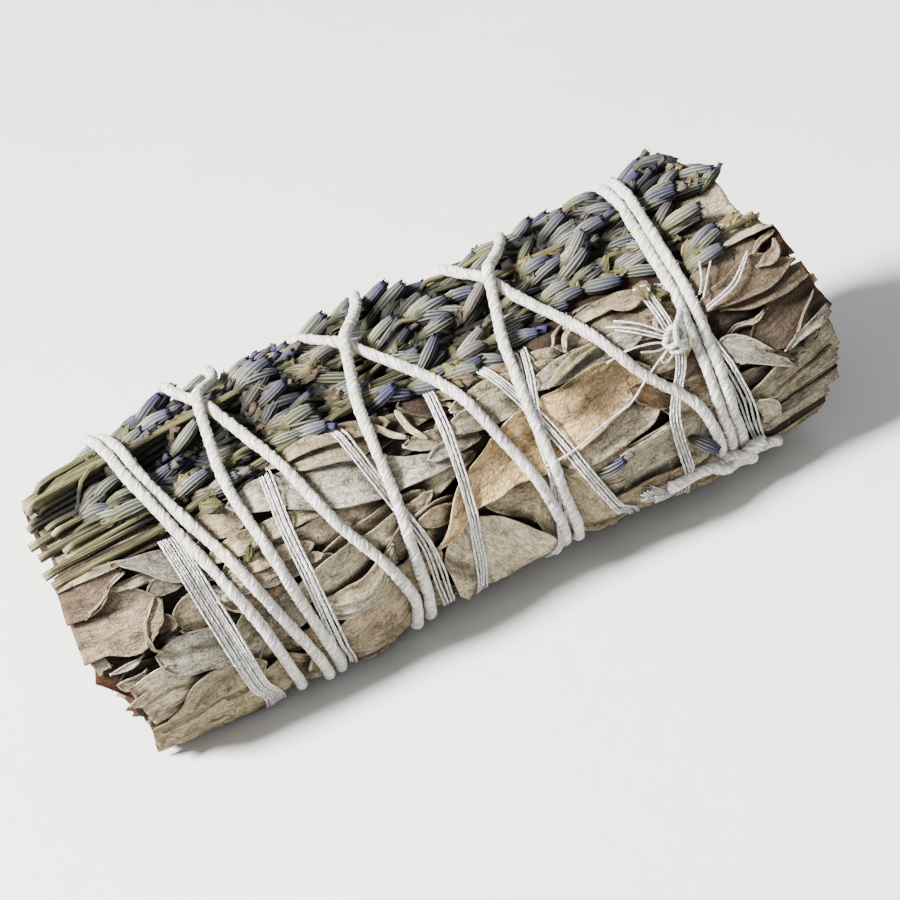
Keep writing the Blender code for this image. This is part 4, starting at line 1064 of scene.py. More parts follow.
def fuzz(points, out_radius, count, seed):
    """Loose fibres that stand off a cord: thin three-sided spikes, each bent once."""
    luck = np.random.default_rng(seed)
    along, out, side = frames_along(points)
    wall = [[i, (i + 1) % 3, (i + 1) % 3 + 3, i + 3] for i in range(3)]
    faces = wall + [[i + 3, (i + 1) % 3 + 3, 6] for i in range(3)] + [[2, 1, 0]]
    parts = []
    for k in luck.integers(2, len(points) - 2, count):
        c, s = heading_of(luck.uniform(0, TURN))
        away = out[k] * c + side[k] * s
        lean = along[k] * luck.uniform(-1.2, 1.2) + np.cross(along[k], away) * luck.uniform(-1.0, 1.0)
        root = points[k] + away * out_radius * 0.85 * MM
        length = luck.uniform(0.4, 1.3)
        bent = root + (away * 0.5 + lean * 0.5) * length * 0.5 * MM
        tip = bent + (away * 0.15 + lean * 0.9) * length * 0.5 * MM
        across = np.cross(lean, away)
        across /= np.linalg.norm(across) + 1e-9
        ring = np.array([across, np.cross(across, along[k]), -across]) * FIBRE_RADIUS * MM
        parts.append((np.vstack([root + ring, bent + ring * 0.8, tip]), faces, np.zeros((7, 2)), np.zeros(7)))
    return join(parts)


def cotton_object(node, parts, material, tint, slot):
    """Makes the piece that stands for this node of the CAD."""
    points, faces, flat, groove = join(parts)
    obj = add_mesh(node + "_visual", points, faces, material)
    lay_out(obj, flat)
    paint(obj, tint=np.tile(tint, (len(points), 1)), groove=groove)
    show(obj, slot, node)


# Material, colour and slot
TWINE_LOOK = (TWINE, (0.88, 0.86, 0.80), "cotton_twine")
THREAD_LOOK = (THREAD, (0.95, 0.95, 0.94), "cotton_thread")


def make_twine(top):
    """Ten turns of three-ply twine, pulled tight over leaves and lavender."""
    near_top = highest(top, 0.6)
    beside = [read(near_top, twine_x + k, twine_angle) for k in (-0.6, 0, 0.6)]
    needed = floor_limit(TWINE_RADIUS + 0.05, twine_angle, np.mean(beside, axis=0) + 0.5 * TWINE_RADIUS)
    radius = stack_turns(twine_x, twine_angle, pull_tight(twine_angle, needed), TWINE_RADIUS * 1.1)
    radius = floor_limit(TWINE_RADIUS + 0.05, twine_angle, pull_tight(twine_angle, radius, 40))
    line = world(twine_x, twine_angle, radius)
    for _ in range(3):
        line[1:-1] = (line[:-2] + 2 * line[1:-1] + line[2:]) / 4
    cotton_object("binding_twine", [twine(line, 0.42, 16, 3), fuzz(line, TWINE_RADIUS, 2600, 4)], *TWINE_LOOK)


def floor_limit(height, angle, radius):
    """The radius, shortened where the point would be lower than this height."""
    drop = np.maximum(-np.sin(np.radians(angle)), 1e-6)
    return np.minimum(radius, (AXIS_HEIGHT - height) / drop)


# Radius of one thread of the band
THREAD_RADIUS = 0.18
# Threads side by side in each turn of the thread
BAND = (4, 4, 4, 8, 5, 4, 4, 4)


def make_thread(top):
    """A band of thin threads in each turn, side by side."""
    parts = []
    near_top = highest(top, 0.3)
    turns = np.floor((thread_angle + 90) / TURN).astype(int)
    strands = np.array(BAND)[np.minimum(turns, len(BAND) - 1)]
    for lane in range(max(BAND)):
        runs = np.flatnonzero(np.diff(np.concatenate([[0], (strands > lane).astype(int), [0]])))
        for first, last in zip(runs[::2], runs[1::2]):
            angle, count = thread_angle[first:last], strands[first:last]
            wander = 0.16 * noise(angle / 40, lane * 3.3, 2)
            apart = np.where(count > 4, 0.39, 0.46)
            x = thread_x[first:last] + (lane - (count - 1) / 2) * apart + wander
            needed = read(near_top, x, angle) + THREAD_RADIUS + 0.02 * lane
            needed = floor_limit(THREAD_RADIUS + 0.05, angle, needed)
            radius = floor_limit(THREAD_RADIUS + 0.05, angle, pull_tight(angle, needed, 60))
            radius -= 2.0 * under_lavender(x, angle)
            parts.append(strand(world(x, angle, radius), THREAD_RADIUS, 2, THREAD_PITCH, 0.75, 6, 5 + lane))
    cotton_object("binding_thread", parts, *THREAD_LOOK)


# ------------------------------------------------------------------ lavender

# Sprigs from the front to the back: (first x, x of each whorl's base)
SPRIGS = (
    (-57.0, (-8, -1, 5.5, 11)),
    (-57.5, (-37, 14, 20, 26, 32)),
    (-57.0, (-46, -21, 3, 9, 36, 41.5)),
    (-57.5, (-49, -34, 15, 21, 27)),
    (-56.5, (-29, -22, -8, 22, 31, 40)),
    (-56.0, (-41, -12, -4, 2, 14)),
    (-55.5, (-36, -24, -18, 8, 27, 33)),
    (-55.5, (-46, -14, -7, 18, 24, 44)),
    (-55.0, (-40, -28, 2, 12, 36, 41)),
    (-54.5, (-48, -18, -10, 20, 30)),
)
RIB_SIDES = 22
# (share along, radius) out to the teeth of the calyx, then back into its mouth
CALYX_RINGS = (
    (0.0, 0.10), (0.08, 0.28), (0.26, 0.47), (0.50, 0.53),
    (0.74, 0.48), (0.90, 0.38), (1.0, 0.26), (0.84, 0.10),
)
# (share along, radius, how far its lobes stand forward, 1 where it has lobes)
PETAL_RINGS = (
    (0, 0.20, 0, 0), (0.4, 0.26, 0, 0), (0.8, 0.42, 0.1, 1), (0.9, 0.28, 0.25, 1), (0.6, 0.10, 0, 0),
)


def calyx_shape():
    """A ribbed calyx along +X, 1 long and about 1 across: points, faces, how far along, and 1 on its ribs."""
    mouth = len(CALYX_RINGS) - 2
    side, phi = np.arange(RIB_SIDES), around(RIB_SIDES)
    ribs = np.where(side % 2 == 0, 1.0, 0.73)
    teeth = np.where(side % 4 == 0, 0.04, -0.03)
    points, along, rib = [], [], []
    for k, (t, r) in enumerate(CALYX_RINGS):
        strength = ease(t / 0.2) if k <= mouth else 0
        radius = r * (1 + (ribs - 1) * strength)
        points.append(np.stack([t + teeth * (k == mouth), radius * np.cos(phi), radius * np.sin(phi)], -1))
        along.append(np.full(RIB_SIDES, t if k <= mouth else 1.1))
        rib.append((ribs > 0.9) * strength * (1 if k < mouth else 0.3))
    faces = tube_faces(len(CALYX_RINGS), RIB_SIDES)
    return np.concatenate(points), faces, np.concatenate(along), np.concatenate(rib)


CALYX = calyx_shape()


def petal_shape():
    """A withered flower along +X: a short tube that opens in four crumpled lobes."""
    sides = 8
    phi = around(sides)
    lobes = np.where(np.arange(sides) % 2 == 0, 1.0, 0.55)
    points = []
    for t, r, edge, flare in PETAL_RINGS:
        ring = r * lobes**flare
        points.append(np.stack([t + lobes * edge, ring * np.cos(phi), ring * np.sin(phi)], -1))
    return np.concatenate(points), tube_faces(len(PETAL_RINGS), sides)


PETAL = petal_shape()


def stand(points, base, tip, out, width):
    """A shape along +X, moved to run from base to tip, with its +Z away from the bundle."""
    along = tip - base
    length = np.linalg.norm(along)
    along = along / length
    side = np.cross(out, along)
    side /= np.linalg.norm(side)
    up = np.cross(along, side)
    scaled = points * np.array([length, width * MM, width * MM])
    return base + scaled[:, :1] * along + scaled[:, 1:2] * side + scaled[:, 2:] * up


# Painted shade: a sprig is darkened where it lies this far under the flowers' surface, fully over this span
# more
DEEP_FROM = 0.4
DEEP_SPAN = 1.05
NOTHING_OVER = np.zeros((COLUMNS, ROWS))
# A sprig's materials, in the order of its mesh's slots
IS_STEM, IS_FLOWER, IS_BRACT = range(3)


class Sprig:
    """One sprig's parts, gathered by material."""

    def __init__(self):
        self.parts = []

    def add(self, points, faces, kind, tint, flat, rib=None, rib_tint=(0, 0, 0)):
        """Adds a piece of one kind; rib is 1 on the ribs, which take rib_tint."""
        rib = np.zeros(len(points)) if rib is None else rib
        tint, rib_tint = (np.broadcast_to(value, (len(points), 3)) for value in (tint, rib_tint))
        self.parts.append((points, faces, np.full(len(faces), kind), tint, flat, rib, rib_tint))

    def finish(self, name, slot, top, *nodes):
        """Makes the mesh, with painted shade where it lies deep under the surface that this map gives."""
        points, faces, kind, tint, flat, rib, rib_tint = join(self.parts)
        obj = add_mesh(name, points, faces, STEM)
        for material in (FLOWER, BRACT):
            obj.data.materials.append(material)
        obj.data.polygons.foreach_set("material_index", kind)
        lay_out(obj, flat)
        y, z = CENTRE_Y - points[:, 1] / MM, points[:, 2] / MM - AXIS_HEIGHT
        above = read(top, points[:, 0] / MM - CENTRE_X, np.degrees(np.arctan2(z, y))) - np.hypot(y, z)
        # painted shade: the deeper a point lies under the blurred top, the darker its colours, down to 0.07
        light = (1 - np.clip((above - DEEP_FROM) / DEEP_SPAN, 0, 0.93))[:, None]
        paint(obj, tint=tint * light, rib=rib, rib_tint=rib_tint * light)
        show(obj, slot, *nodes)


OLIVE = np.array((0.105, 0.100, 0.042))
BROWN = np.array((0.060, 0.036, 0.020))
STRAW = np.array((0.120, 0.090, 0.036))
MOSS = np.array((0.080, 0.075, 0.024))
PAPER = np.array((0.30, 0.27, 0.19))
BLUE = np.array((0.030, 0.027, 0.072))
WITHERED = np.array((0.062, 0.050, 0.040))
RED_BROWN = np.array((0.036, 0.026, 0.010))
CUT_STEM = (0.20, 0.175, 0.095)
# Calyx colours: (grooves at the base, middle and tip; ribs at the base, middle and tip)
CALYX_TINTS = np.array((
    ((0.026, 0.029, 0.009), (0.009, 0.010, 0.016), (0.011, 0.010, 0.030),
     (0.26, 0.26, 0.120), (0.30, 0.30, 0.245), (0.098, 0.098, 0.132)),
    ((0.036, 0.038, 0.011), (0.022, 0.024, 0.014), (0.018, 0.018, 0.026),
     (0.24, 0.24, 0.095), (0.29, 0.30, 0.20), (0.150, 0.153, 0.150)),
    ((0.022, 0.024, 0.010), (0.009, 0.008, 0.020), (0.012, 0.010, 0.034),
     (0.23, 0.23, 0.120), (0.17, 0.170, 0.178), (0.060, 0.058, 0.106)),
    ((0.060, 0.042, 0.018), (0.045, 0.032, 0.028), (0.030, 0.022, 0.030),
     (0.24, 0.20, 0.110), (0.26, 0.225, 0.180), (0.150, 0.125, 0.130)),
))
GROOVE_SHADE = 0.82
RIB_SHADE = 1.1
TWINE_NEAR = near_route(twine_x, twine_angle, 1.5)
# How high above the axis flowers may be laid
HIGHEST = 22.9


def kept_low(angle, radius):
    """The radius, shortened where flowers laid on it would stand higher than the twine."""
    return np.minimum(radius, HIGHEST / np.maximum(np.sin(np.radians(angle)), 0.2))


def lay_petal(sprig, base, tip, out, tint, luck):
    """A withered flower that sticks out of a calyx's tip."""
    petals, faces = PETAL
    direction = (tip - base) / np.linalg.norm(tip - base)
    start = tip - direction * 0.7 * MM
    crumpled = petals + 0.07 * luck.normal(size=petals.shape)
    sway = np.cross(out, direction)
    sway /= np.linalg.norm(sway)
    end = start + (direction + sway * luck.uniform(-0.5, 0.5)) * luck.uniform(1.3, 2.3) * MM
    moved = stand(crumpled, start, end, out, luck.uniform(1.3, 1.8))
    tone = tint * luck.uniform(0.6, 1.3) * (0.6 + 0.8 * luck.random((len(petals), 1)))
    sprig.add(moved, faces, IS_FLOWER, tone, petals[:, :2] * 2 + luck.uniform(0, 90, 2))


def lay_calyx(sprig, surface, x, s, heading, length, width, luck, pressed=1.2, kind=None):
    """Lays one calyx on the surface, from its base at (x, s) towards the heading, and maybe its flower."""
    c, d = heading_of(heading)
    reach = length * np.array([0.0, 0.5, 1.0])
    px, angle = x + reach * c, angle_of(s + reach * d)
    under = kept_low(angle, read(surface.top, px, angle) - pressed * read(TWINE_NEAR, px, angle))
    low, middle, high = under + np.array([0.35, 0.40 * width, 0.30 * width])
    middle = max(middle, (low + high) / 2)
    high = min(max(high, 2 * middle - low - 1.0), middle + 1.5)
    low = max(low, middle - 1.4)
    base, tip = world(px[0], angle[0], low), world(px[2], angle[2], high)
    out = world(px[1], angle[1], 1.0) - world(px[1], angle[1], 0.0)
    points, faces, along, rib = CALYX
    shape = points.copy()
    shape[:, 2] += (middle - (low + high) / 2) / width * 4 * along * (1 - along)
    shape[:, 1] += luck.uniform(-0.30, 0.30) * along * (1 - along) * 2
    moved = stand(shape, base, tip, out, width)
    picked = luck.choice(4, p=(0.42, 0.26, 0.24, 0.08))
    tints = CALYX_TINTS[picked if kind is None else kind] * luck.uniform(0.6, 1.05)
    t = along[:, None] + luck.uniform(-0.12, 0.12)
    first, second = 1 - ease(t * 2.4), ease((t - 0.45) / 0.5)
    tints[:3] += (tints[3:] - tints[:3]) * luck.uniform(0, 0.35)
    groove, pale = (
        k[0] * first + k[1] * (1 - first) * (1 - second) + k[2] * second
        for k in (GROOVE_SHADE * tints[:3], RIB_SHADE * tints[3:])
    )
    flat = np.stack([points[:, 0] * length, np.arctan2(points[:, 2], points[:, 1]) * width * 0.5], -1)
    sprig.add(moved, faces, IS_FLOWER, groove, flat + luck.uniform(0, 90, 2), rib, pale)
    t, k = np.meshgrid(np.linspace(0.1, 0.9, 6), (-0.3, 0, 0.3))
    sx, ss = x + length * t * c - k * width * d, s + length * t * d + k * width * c
    surface.cover(sx, angle_of(ss), low + (high - low) * t + 0.42 * width)
    fate = luck.random()
    if fate < 0.30:
        lay_petal(sprig, base, tip, out, BLUE if fate < 0.10 else WITHERED, luck)


def lay_bract(sprig, surface, x, s, heading, length, width, tint, luck, lift=0.45):
    """A papery pleated bract: a small curved fan that hugs the whorl's base."""
    rows, columns = 6, 7
    t = np.linspace(0, 1, rows)[:, None]
    v = np.linspace(-1, 1, columns)[None, :]
    pleat = np.where(np.arange(columns) % 2 == 0, 1.0, -1.0)[None, :]
    half = width / 2 * np.sin(math.pi * np.clip(t * 0.85 + 0.10, 0, 1)) ** 0.8
    c, d = heading_of(heading)
    reach = length * t * (1 - 0.16 * v**2 + 0.05 * pleat)
    px = x + c * reach - d * v * half
    angle = angle_of(s + d * reach + c * v * half)
    radius = blurred_patch(surface, px, angle) + lift + 0.9 * t * luck.uniform(0.2, 1.0)
    radius = radius - 0.5 * v**2 * (1 - t)
    radius = radius + 0.13 * pleat * ease(t * 3) + 0.15 * luck.normal(size=px.shape)
    outer = world(px, angle, radius).reshape(-1, 3)
    inner = world(px, angle, radius - 0.12).reshape(-1, 3)
    size = rows * columns
    faces = grid_faces(rows, columns) + [f[::-1] for f in grid_faces(rows, columns, start=size)]
    right, bottom = range(columns - 1, size, columns), range(size - 1, size - 1 - columns, -1)
    rim = [*range(columns), *right[1:], *bottom[1:], *range(size - columns, -1, -columns)[1:]]
    faces += [[b, a, a + size, b + size] for a, b in zip(rim[:-1], rim[1:])]
    flat = pairs(t * length, v * half).reshape(-1, 2)
    tone = np.asarray(tint) * luck.uniform(0.7, 1.25) * (0.85 + 0.35 * pleat * ease(t * 2))[..., None]
    tone = np.tile(tone.reshape(-1, 3), (2, 1))
    flat = np.tile(flat + luck.uniform(0, 90, 2), (2, 1))
    sprig.add(np.concatenate([outer, inner]), faces, IS_BRACT, tone, flat)


def blurred_patch(surface, px, angle):
    """The surface's radii at a few close places, evened out."""
    values = kept_low(angle, read(surface.top, px, angle))
    return np.median(values) * 0.6 + values * 0.4 - 0.8 * read(TWINE_NEAR, px, angle)


def lay_stem(sprig, surface, first, last, angle_at, luck, thickness=0.56, dive=0.0):
    """A squarish, grooved stem from its cut end to the sprig's last whorl, or from among the flowers."""
    x = np.arange(first, last, 0.8)
    angle = angle_at(x) + 1.4 * noise(x / 26, 0, luck.integers(30))
    under = np.max([read(surface.top, x + k, angle) for k in (-1, 0, 1)], axis=0)
    radius = kept_low(angle, pull_level(under + thickness, 120)) - dive * (1 - ease((x - first) / 3.0))
    line = world(x, angle, radius)
    _, out, side = frames_along(line)
    sides = 8
    phi = around(sides)
    square = np.where(np.arange(sides) % 2 == 0, 1.05, 0.92)
    thick = thickness * (1 + 0.08 * noise(x / 6, 1, 4))[:, None] * square
    thick *= (1.0 + 0.25 * (dive == 0) * ease((first + 14 - x) / 14))[:, None]
    ring = out[:, None] * np.cos(phi)[None, :, None] + side[:, None] * np.sin(phi)[None, :, None]
    points = (line[:, None] + ring * thick[..., None] * MM).reshape(-1, 3)
    tint = OLIVE * luck.uniform(0.35, 0.85) + RED_BROWN * luck.random()
    pale = (x[:, None] < first + 0.9) & (dive == 0)
    tint = np.repeat(np.where(pale, CUT_STEM, tint), sides, axis=0)
    flat = pairs(x[:, None], phi[None, :] * 0.6).reshape(-1, 2)
    sprig.add(points, tube_faces(len(x), sides), IS_STEM, tint, flat + luck.uniform(0, 90, 2))
    for k in (-0.4, 0, 0.4):
        surface.cover(x, angle + angle_of(k), radius + 0.45)
    return x, angle


def pull_level(needed, rounds):
    """A stiff line at least as high as needed."""
    line = needed.copy()
    for _ in range(rounds):
        line[1:-1] = np.maximum(needed[1:-1], (line[:-2] + line[2:]) / 2)
    return line


# The front sprig's course, (x, angle); the others spread from it to the last one's angle
FRONT_COURSE = ((-57, 56.5), (-40, 60), (-32, 64), (-20, 66), (-9, 69), (12, 70), (37, 71), (50, 68))
LAST_ANGLE = 138.0
# Where the flowers are heaped highest: (x, angle, radius under them, reach)
HEAPS = (
    (2.5, 120, 21.8, 3.6), (19.5, 119, 23.6, 3.6), (31, 119, 22.5, 4.6),
    (-5, 118, 21.0, 4.0), (44, 119, 23.3, 3.6), (50.5, 115, 22.2, 2.6),
)
# Whorls that stand clear of the rest: (sprig, x, angle, calyces, heading)
STRAYS = (
    (1, 42.5, 62.0, 3, 8), (7, 46.0, 101.0, 3, 10), (4, 49.0, 98.0, 2, 40), (0, 4.0, 64.5, 2, -4),
    (0, -34.5, 63.5, 1, 0), (3, 35.0, 60.5, 1, -50), (2, -43.0, 71.0, 2, 5), (8, 41.5, 114.0, 5, 4),
    (7, 48.0, 112.0, 3, 12), (6, 42.0, 106.0, 3, 0), (9, 39.5, 121.0, 4, 2), (8, 46.0, 119.0, 3, 6),
)
# Bracts on the front sprig's bare end: (x, angle, length)
LAST_BRACTS = ((51.0, 69.5, 2.4), (52.4, 67.5, 1.8), (54.4, 69.5, 1.4))
# Loose calyces on the leaves: (x, angle, heading, length, width, height, kind)
FALLEN_CALYCES = ((16.4, -2.2, 10, 5.2, 2.0, -0.2, 0), (32.0, -10.5, -42, 4.8, 1.9, -0.7, 2))
# Loose bracts: (x, angle, heading, length, width, colour)
FALLEN_BRACTS = (
    (-32.6, 29.5, 50, 3.0, 1.6, MOSS), (-38.6, 26.5, -50, 3.6, 2.4, PAPER),
    (-35.6, 26.5, -35, 2.4, 1.5, PAPER), (-0.6, 46.5, -20, 2.0, 1.4, STRAW),
    (32.8, 11.5, 0, 1.8, 1.5, BLUE), (50.4, 73.0, 20, 2.8, 2.2, STRAW),
)


def lay_whorl(sprig, surface, base, s, count, lean, luck):
    """A whorl: bracts, a fan of calyces and more bracts on top of its base."""
    for _ in range(2):
        tint = (BROWN, STRAW, STRAW, OLIVE * 1.3)[luck.integers(4)]
        x, across = base + luck.uniform(-0.8, 0.3), s + luck.uniform(-0.5, 0.5)
        heading, length, width = lean + luck.uniform(-50, 50), luck.uniform(3.0, 4.4), luck.uniform(2.3, 3.5)
        lay_bract(sprig, surface, x, across, heading, length, width, tint, luck)
    for k in range(count):
        fan = 42 * (2 * (k + luck.uniform(0.2, 0.8)) / count - 1)
        x = base + luck.uniform(-1.2, 1.8)
        across = s + 1.3 * math.sin(math.radians(fan)) + luck.uniform(-0.4, 0.4)
        heading = lean + fan * 0.62 + luck.normal(0, 11)
        length, width = luck.uniform(5.4, 7.2), luck.uniform(1.8, 2.4)
        lay_calyx(sprig, surface, x, across, heading, length, width, luck)
    for _ in range(luck.integers(2, 5)):
        tint = (BROWN, STRAW, STRAW, MOSS, MOSS)[luck.integers(5)]
        x, across = base + luck.uniform(-1.4, 0.4), s + luck.uniform(-1.3, 1.3)
        heading, length, width = lean + luck.uniform(-45, 45), luck.uniform(2.6, 4.0), luck.uniform(1.8, 3.0)
        lay_bract(sprig, surface, x, across, heading, length, width, tint, luck, 0.8)


def front_angle(x):
    """The front sprig's angle at x."""
    course = np.array(FRONT_COURSE)
    return spline(course[:, 0], course[:, 1], np.clip(x, course[0, 0], course[-1, 0]))


def lay_sprig_stems(sprig, surface, i, first, whorls, luck):
    """A sprig's own stem, with others beside it, and the places of its whorls: (x, angle) of the stem, xs."""

    def angle_at(x):
        front = front_angle(x)
        return front + (LAST_ANGLE - front) * i / (len(SPRIGS) - 1)

    stem_x, stem_angle = lay_stem(sprig, surface, first, whorls[-1] + 3, angle_at, luck)
    for _ in range(min(i, 4)):
        beside = luck.uniform(-5, 5)
        start, end = first + luck.uniform(0, 4.5), luck.uniform(-38, 20)
        course = lambda x: angle_at(x) + beside - 0.05 * (x + 57)
        lay_stem(sprig, surface, start, end, course, luck, 0.44)
    extra = np.arange(-44 + luck.uniform(0, 5), 37, 9.4)
    extra = [x for x in extra if i > 0 and min(abs(x - w) for w in whorls) > 4.0 and (i > 1 or x < -8)]
    if i > 4:
        for x in np.arange(-42 + luck.uniform(0, 4), 40, 10.0):
            lay_whorl(sprig, surface, x, arc(angle_at(np.array([x]))[0] + 3.5), 4, 0, luck)
    return stem_x, stem_angle, sorted([*whorls, *extra])


def make_lavender(surface):
    """The sprigs: all their stems, then their whorls from the back to the front, and the strays on top."""
    luck = np.random.default_rng(41)
    for x, angle, radius, reach in HEAPS:
        surface.top = np.maximum(surface.top, 17 + (radius - 17) * near_route([x], [angle], reach))
    sprigs = [Sprig() for _ in SPRIGS]
    laid = [lay_sprig_stems(sprigs[i], surface, i, *row, luck) for i, row in enumerate(SPRIGS)]
    for sprig, (stem_x, stem_angle, whorls) in zip(sprigs[::-1], laid[::-1]):
        for base in whorls:
            angle = np.interp(base, stem_x, stem_angle)
            slope = luck.normal(0, 0.35)
            if luck.random() < 0.65:
                start = base - luck.uniform(4.5, 7.5)
                course = lambda x: angle + (x - base) * slope
                lay_stem(sprig, surface, start, base + 0.6, course, luck, 0.38, 1.6)
            lay_whorl(sprig, surface, base, arc(angle), luck.integers(3, 6), luck.normal(0, 5), luck)
    for i, x, angle, count, heading in STRAYS:
        lay_whorl(sprigs[i], surface, x, arc(angle), count, heading, luck)
    lay_stem(sprigs[0], surface, 44.5, 55.4, lambda x: 66.5 + 0.25 * (x - 45), luck, 0.38, 1.0)
    for x, angle, length in LAST_BRACTS:
        lay_bract(sprigs[0], surface, x, arc(angle), luck.uniform(-10, 30), length, 0.8 * length, STRAW, luck)
    top = blurred(highest(surface.top, 0.9), 1.2)
    for i, sprig in enumerate(sprigs):
        sprig.finish(f"lavender_sprig_{i + 1}_visual", "lavender", top, f"lavender_sprig_{i + 1}")


def make_fallen_bits(surface):
    """Calyces and papery bits that came off and lie on the leaves."""
    luck = np.random.default_rng(3)
    bits = Sprig()
    for x, angle, heading, length, width, pressed, kind in FALLEN_CALYCES:
        lay_calyx(bits, surface, x, arc(angle), heading, length, width, luck, pressed, kind)
    for x, angle, heading, length, width, tint in FALLEN_BRACTS:
        lay_bract(bits, surface, x, arc(angle), heading, length, width, tint, luck)
    bits.finish("fallen_bits", "lavender", NOTHING_OVER)


# ------------------------------------------------------------------ settling the leaves

# Where two crossed turns pull the front in, (x, angle)
WAIST = (-11.5, -47.0)


def make_leaves(surface):
    """Presses the laid leaves under the bindings and flat on the floor, makes their meshes and paints shade
    on them where they lie deep or under the lavender.
    """
    x, angle = surface.places()
    covered = under_lavender(x, angle)
    press = 1.1 * near_route(twine_x, twine_angle, 1.5) * (1 - 0.7 * covered)
    press += 0.45 * near_route(thread_x, thread_angle, 1.1)
    press += 1.2 * near_route([WAIST[0]], [WAIST[1]], 7.0)
    press += 1.3 * covered * (1 - ease((angle - 82) / 20))
    envelope = blurred(highest(surface.top, 1.5), 1.0)
    squeeze = np.minimum(1, floor_limit(0.15, angle, envelope) / envelope)
    # painted shade: a leaf lying below this blurred top of the surface is painted darker, and so is one under
    # the lavender
    deep_from = np.maximum(blurred(surface.top, 0.9), blurred(highest(surface.top, 0.6), 0.4) - 0.25)
    for sheet in sheets:
        x, a = sheet["x"], sheet["angle"]
        radius = (sheet["radius"] - read(press, x, a)) * read(squeeze, x, a)
        points, faces = thick_sheet(world(x, a, radius), SKIN)
        obj = add_mesh(sheet["name"] + "_visual", points, faces, LEAF)
        lay_out(obj, both(np.stack([sheet["u"], sheet["a"]], -1)) + PATTERN_START)
        deep = np.clip((read(deep_from, x, a) - sheet["radius"] - 0.22) / 0.95, 0, 0.97)
        shaded = under_lavender(x, a) * ease((x + 54) / 6) * ease((54 - x) / 9)
        shaded = shaded * ease(0.9 + noise(x / 6, arc(a) / 3, 3)) * 0.9
        pale = min(1.0, sheet["tint"].mean() / 0.13)
        paint(obj, tint=np.tile(sheet["tint"], (len(points), 1)), margin=both(sheet["margin"]) * pale,
              torn=both(sheet["torn"]) * pale, crease=both(sheet["crease"]), vein=both(sheet["vein"]),
              deep=both(np.maximum(deep, shaded)))
        show(obj, "sage_leaf_tan" if sheet["name"] == "leaf_golden" else "sage_leaf", *sheet["nodes"])
    return (surface.top - press) * squeeze


# ------------------------------------------------------------------ inside the bundle

# Radius of what the two wrapping leaves go round
CORE = 12.6
# (name, first and last angle, left and right end)
WRAPS = (("wrap_leaf_front", -90.0, 92.0, -54.5, 53.5), ("wrap_leaf_back", 90.0, 272.0, -53.5, 54.5))
# (distance from the axis, angle round it, radius)
INNER_SPRIGS = ((0.0, 0.0, 3.3), *((7.7, 90 + 72 * k, 4.1) for k in range(5)))
INNER_TINTS = ("tan", "grey", "pink", "beige", "tan", "grey")
ROLL_TURNS = 3.4
WOOD = np.array((0.30, 0.20, 0.11))


def inner_leaf(name, slot, outer, skin, flat, tint, deep):
    """One leaf inside the bundle: a thick sheet of one colour, darkened by this much painted shade."""
    points, faces = thick_sheet(outer, skin)
    obj = add_mesh(name + "_visual", points, faces, LEAF)
    lay_out(obj, both(flat))
    paint(obj, tint=np.tile(TINTS[tint], (len(points), 1)), deep=np.full(len(points), deep))
    show(obj, slot, name)


def make_wraps():
    """Two crumpled leaves round the inner sprigs, seen deep in the gaps and at the ends."""
    for name, first, last, left, right in WRAPS:
        u = np.linspace(left, right, 55)[:, None]
        a = np.linspace(first, last, 45)[None, :]
        s = arc(a)
        jag = 1.2 * noise(s / 1.5, 2, 6) * np.clip((np.abs(u) - 48) / 5, 0, 1)
        outer = world(u + jag, a, CORE + 1.2 + 0.5 * folds(u, s, 11)[0])
        # painted shade: the wrapping leaves are darkened, as they lie in the shade inside the bundle
        inner_leaf(name, "sage_leaf", outer, 0.35, pairs(u, s), "brown", 0.6)


def room_round(spot, spots, phi):
    """How far a rolled leaf can reach from its centre before it meets a neighbour or the wrapping leaves."""
    towards = np.stack([-np.cos(phi), np.sin(phi)], -1)
    along = towards @ spot
    reach = np.sqrt((CORE + 0.5) ** 2 - spot @ spot + along ** 2) - along
    for other in spots:
        ahead = towards @ (other - spot)
        halfway = (other - spot) @ (other - spot) / (2 * np.maximum(ahead, 0.1))
        reach = np.where(ahead > 0.1, np.minimum(reach, halfway), reach)
    return reach - 0.3


def make_inner_stem(k, spot):
    """The woody stem of one inner sprig."""
    y, z = CENTRE_Y + spot[0], AXIS_HEIGHT + spot[1]
    line = np.array([(CENTRE_X + x, y, z) for x in np.linspace(-53, 53, 40)]) * MM
    sides = 10
    phi = around(sides)
    radius = 0.85 + 0.08 * np.cos(2 * phi)
    ring = np.stack([np.zeros(sides), np.cos(phi), np.sin(phi)], -1) * radius[:, None] * MM
    points = (line[:, None] + ring[None]).reshape(-1, 3)
    flat = pairs(line[:, :1] / MM, phi[None, :] * 0.8).reshape(-1, 2)
    sprig = Sprig()
    sprig.add(points, tube_faces(len(line), sides), IS_STEM, WOOD, flat)
    sprig.finish(f"inner_stem_{k + 1}", "sage_stem", NOTHING_OVER)


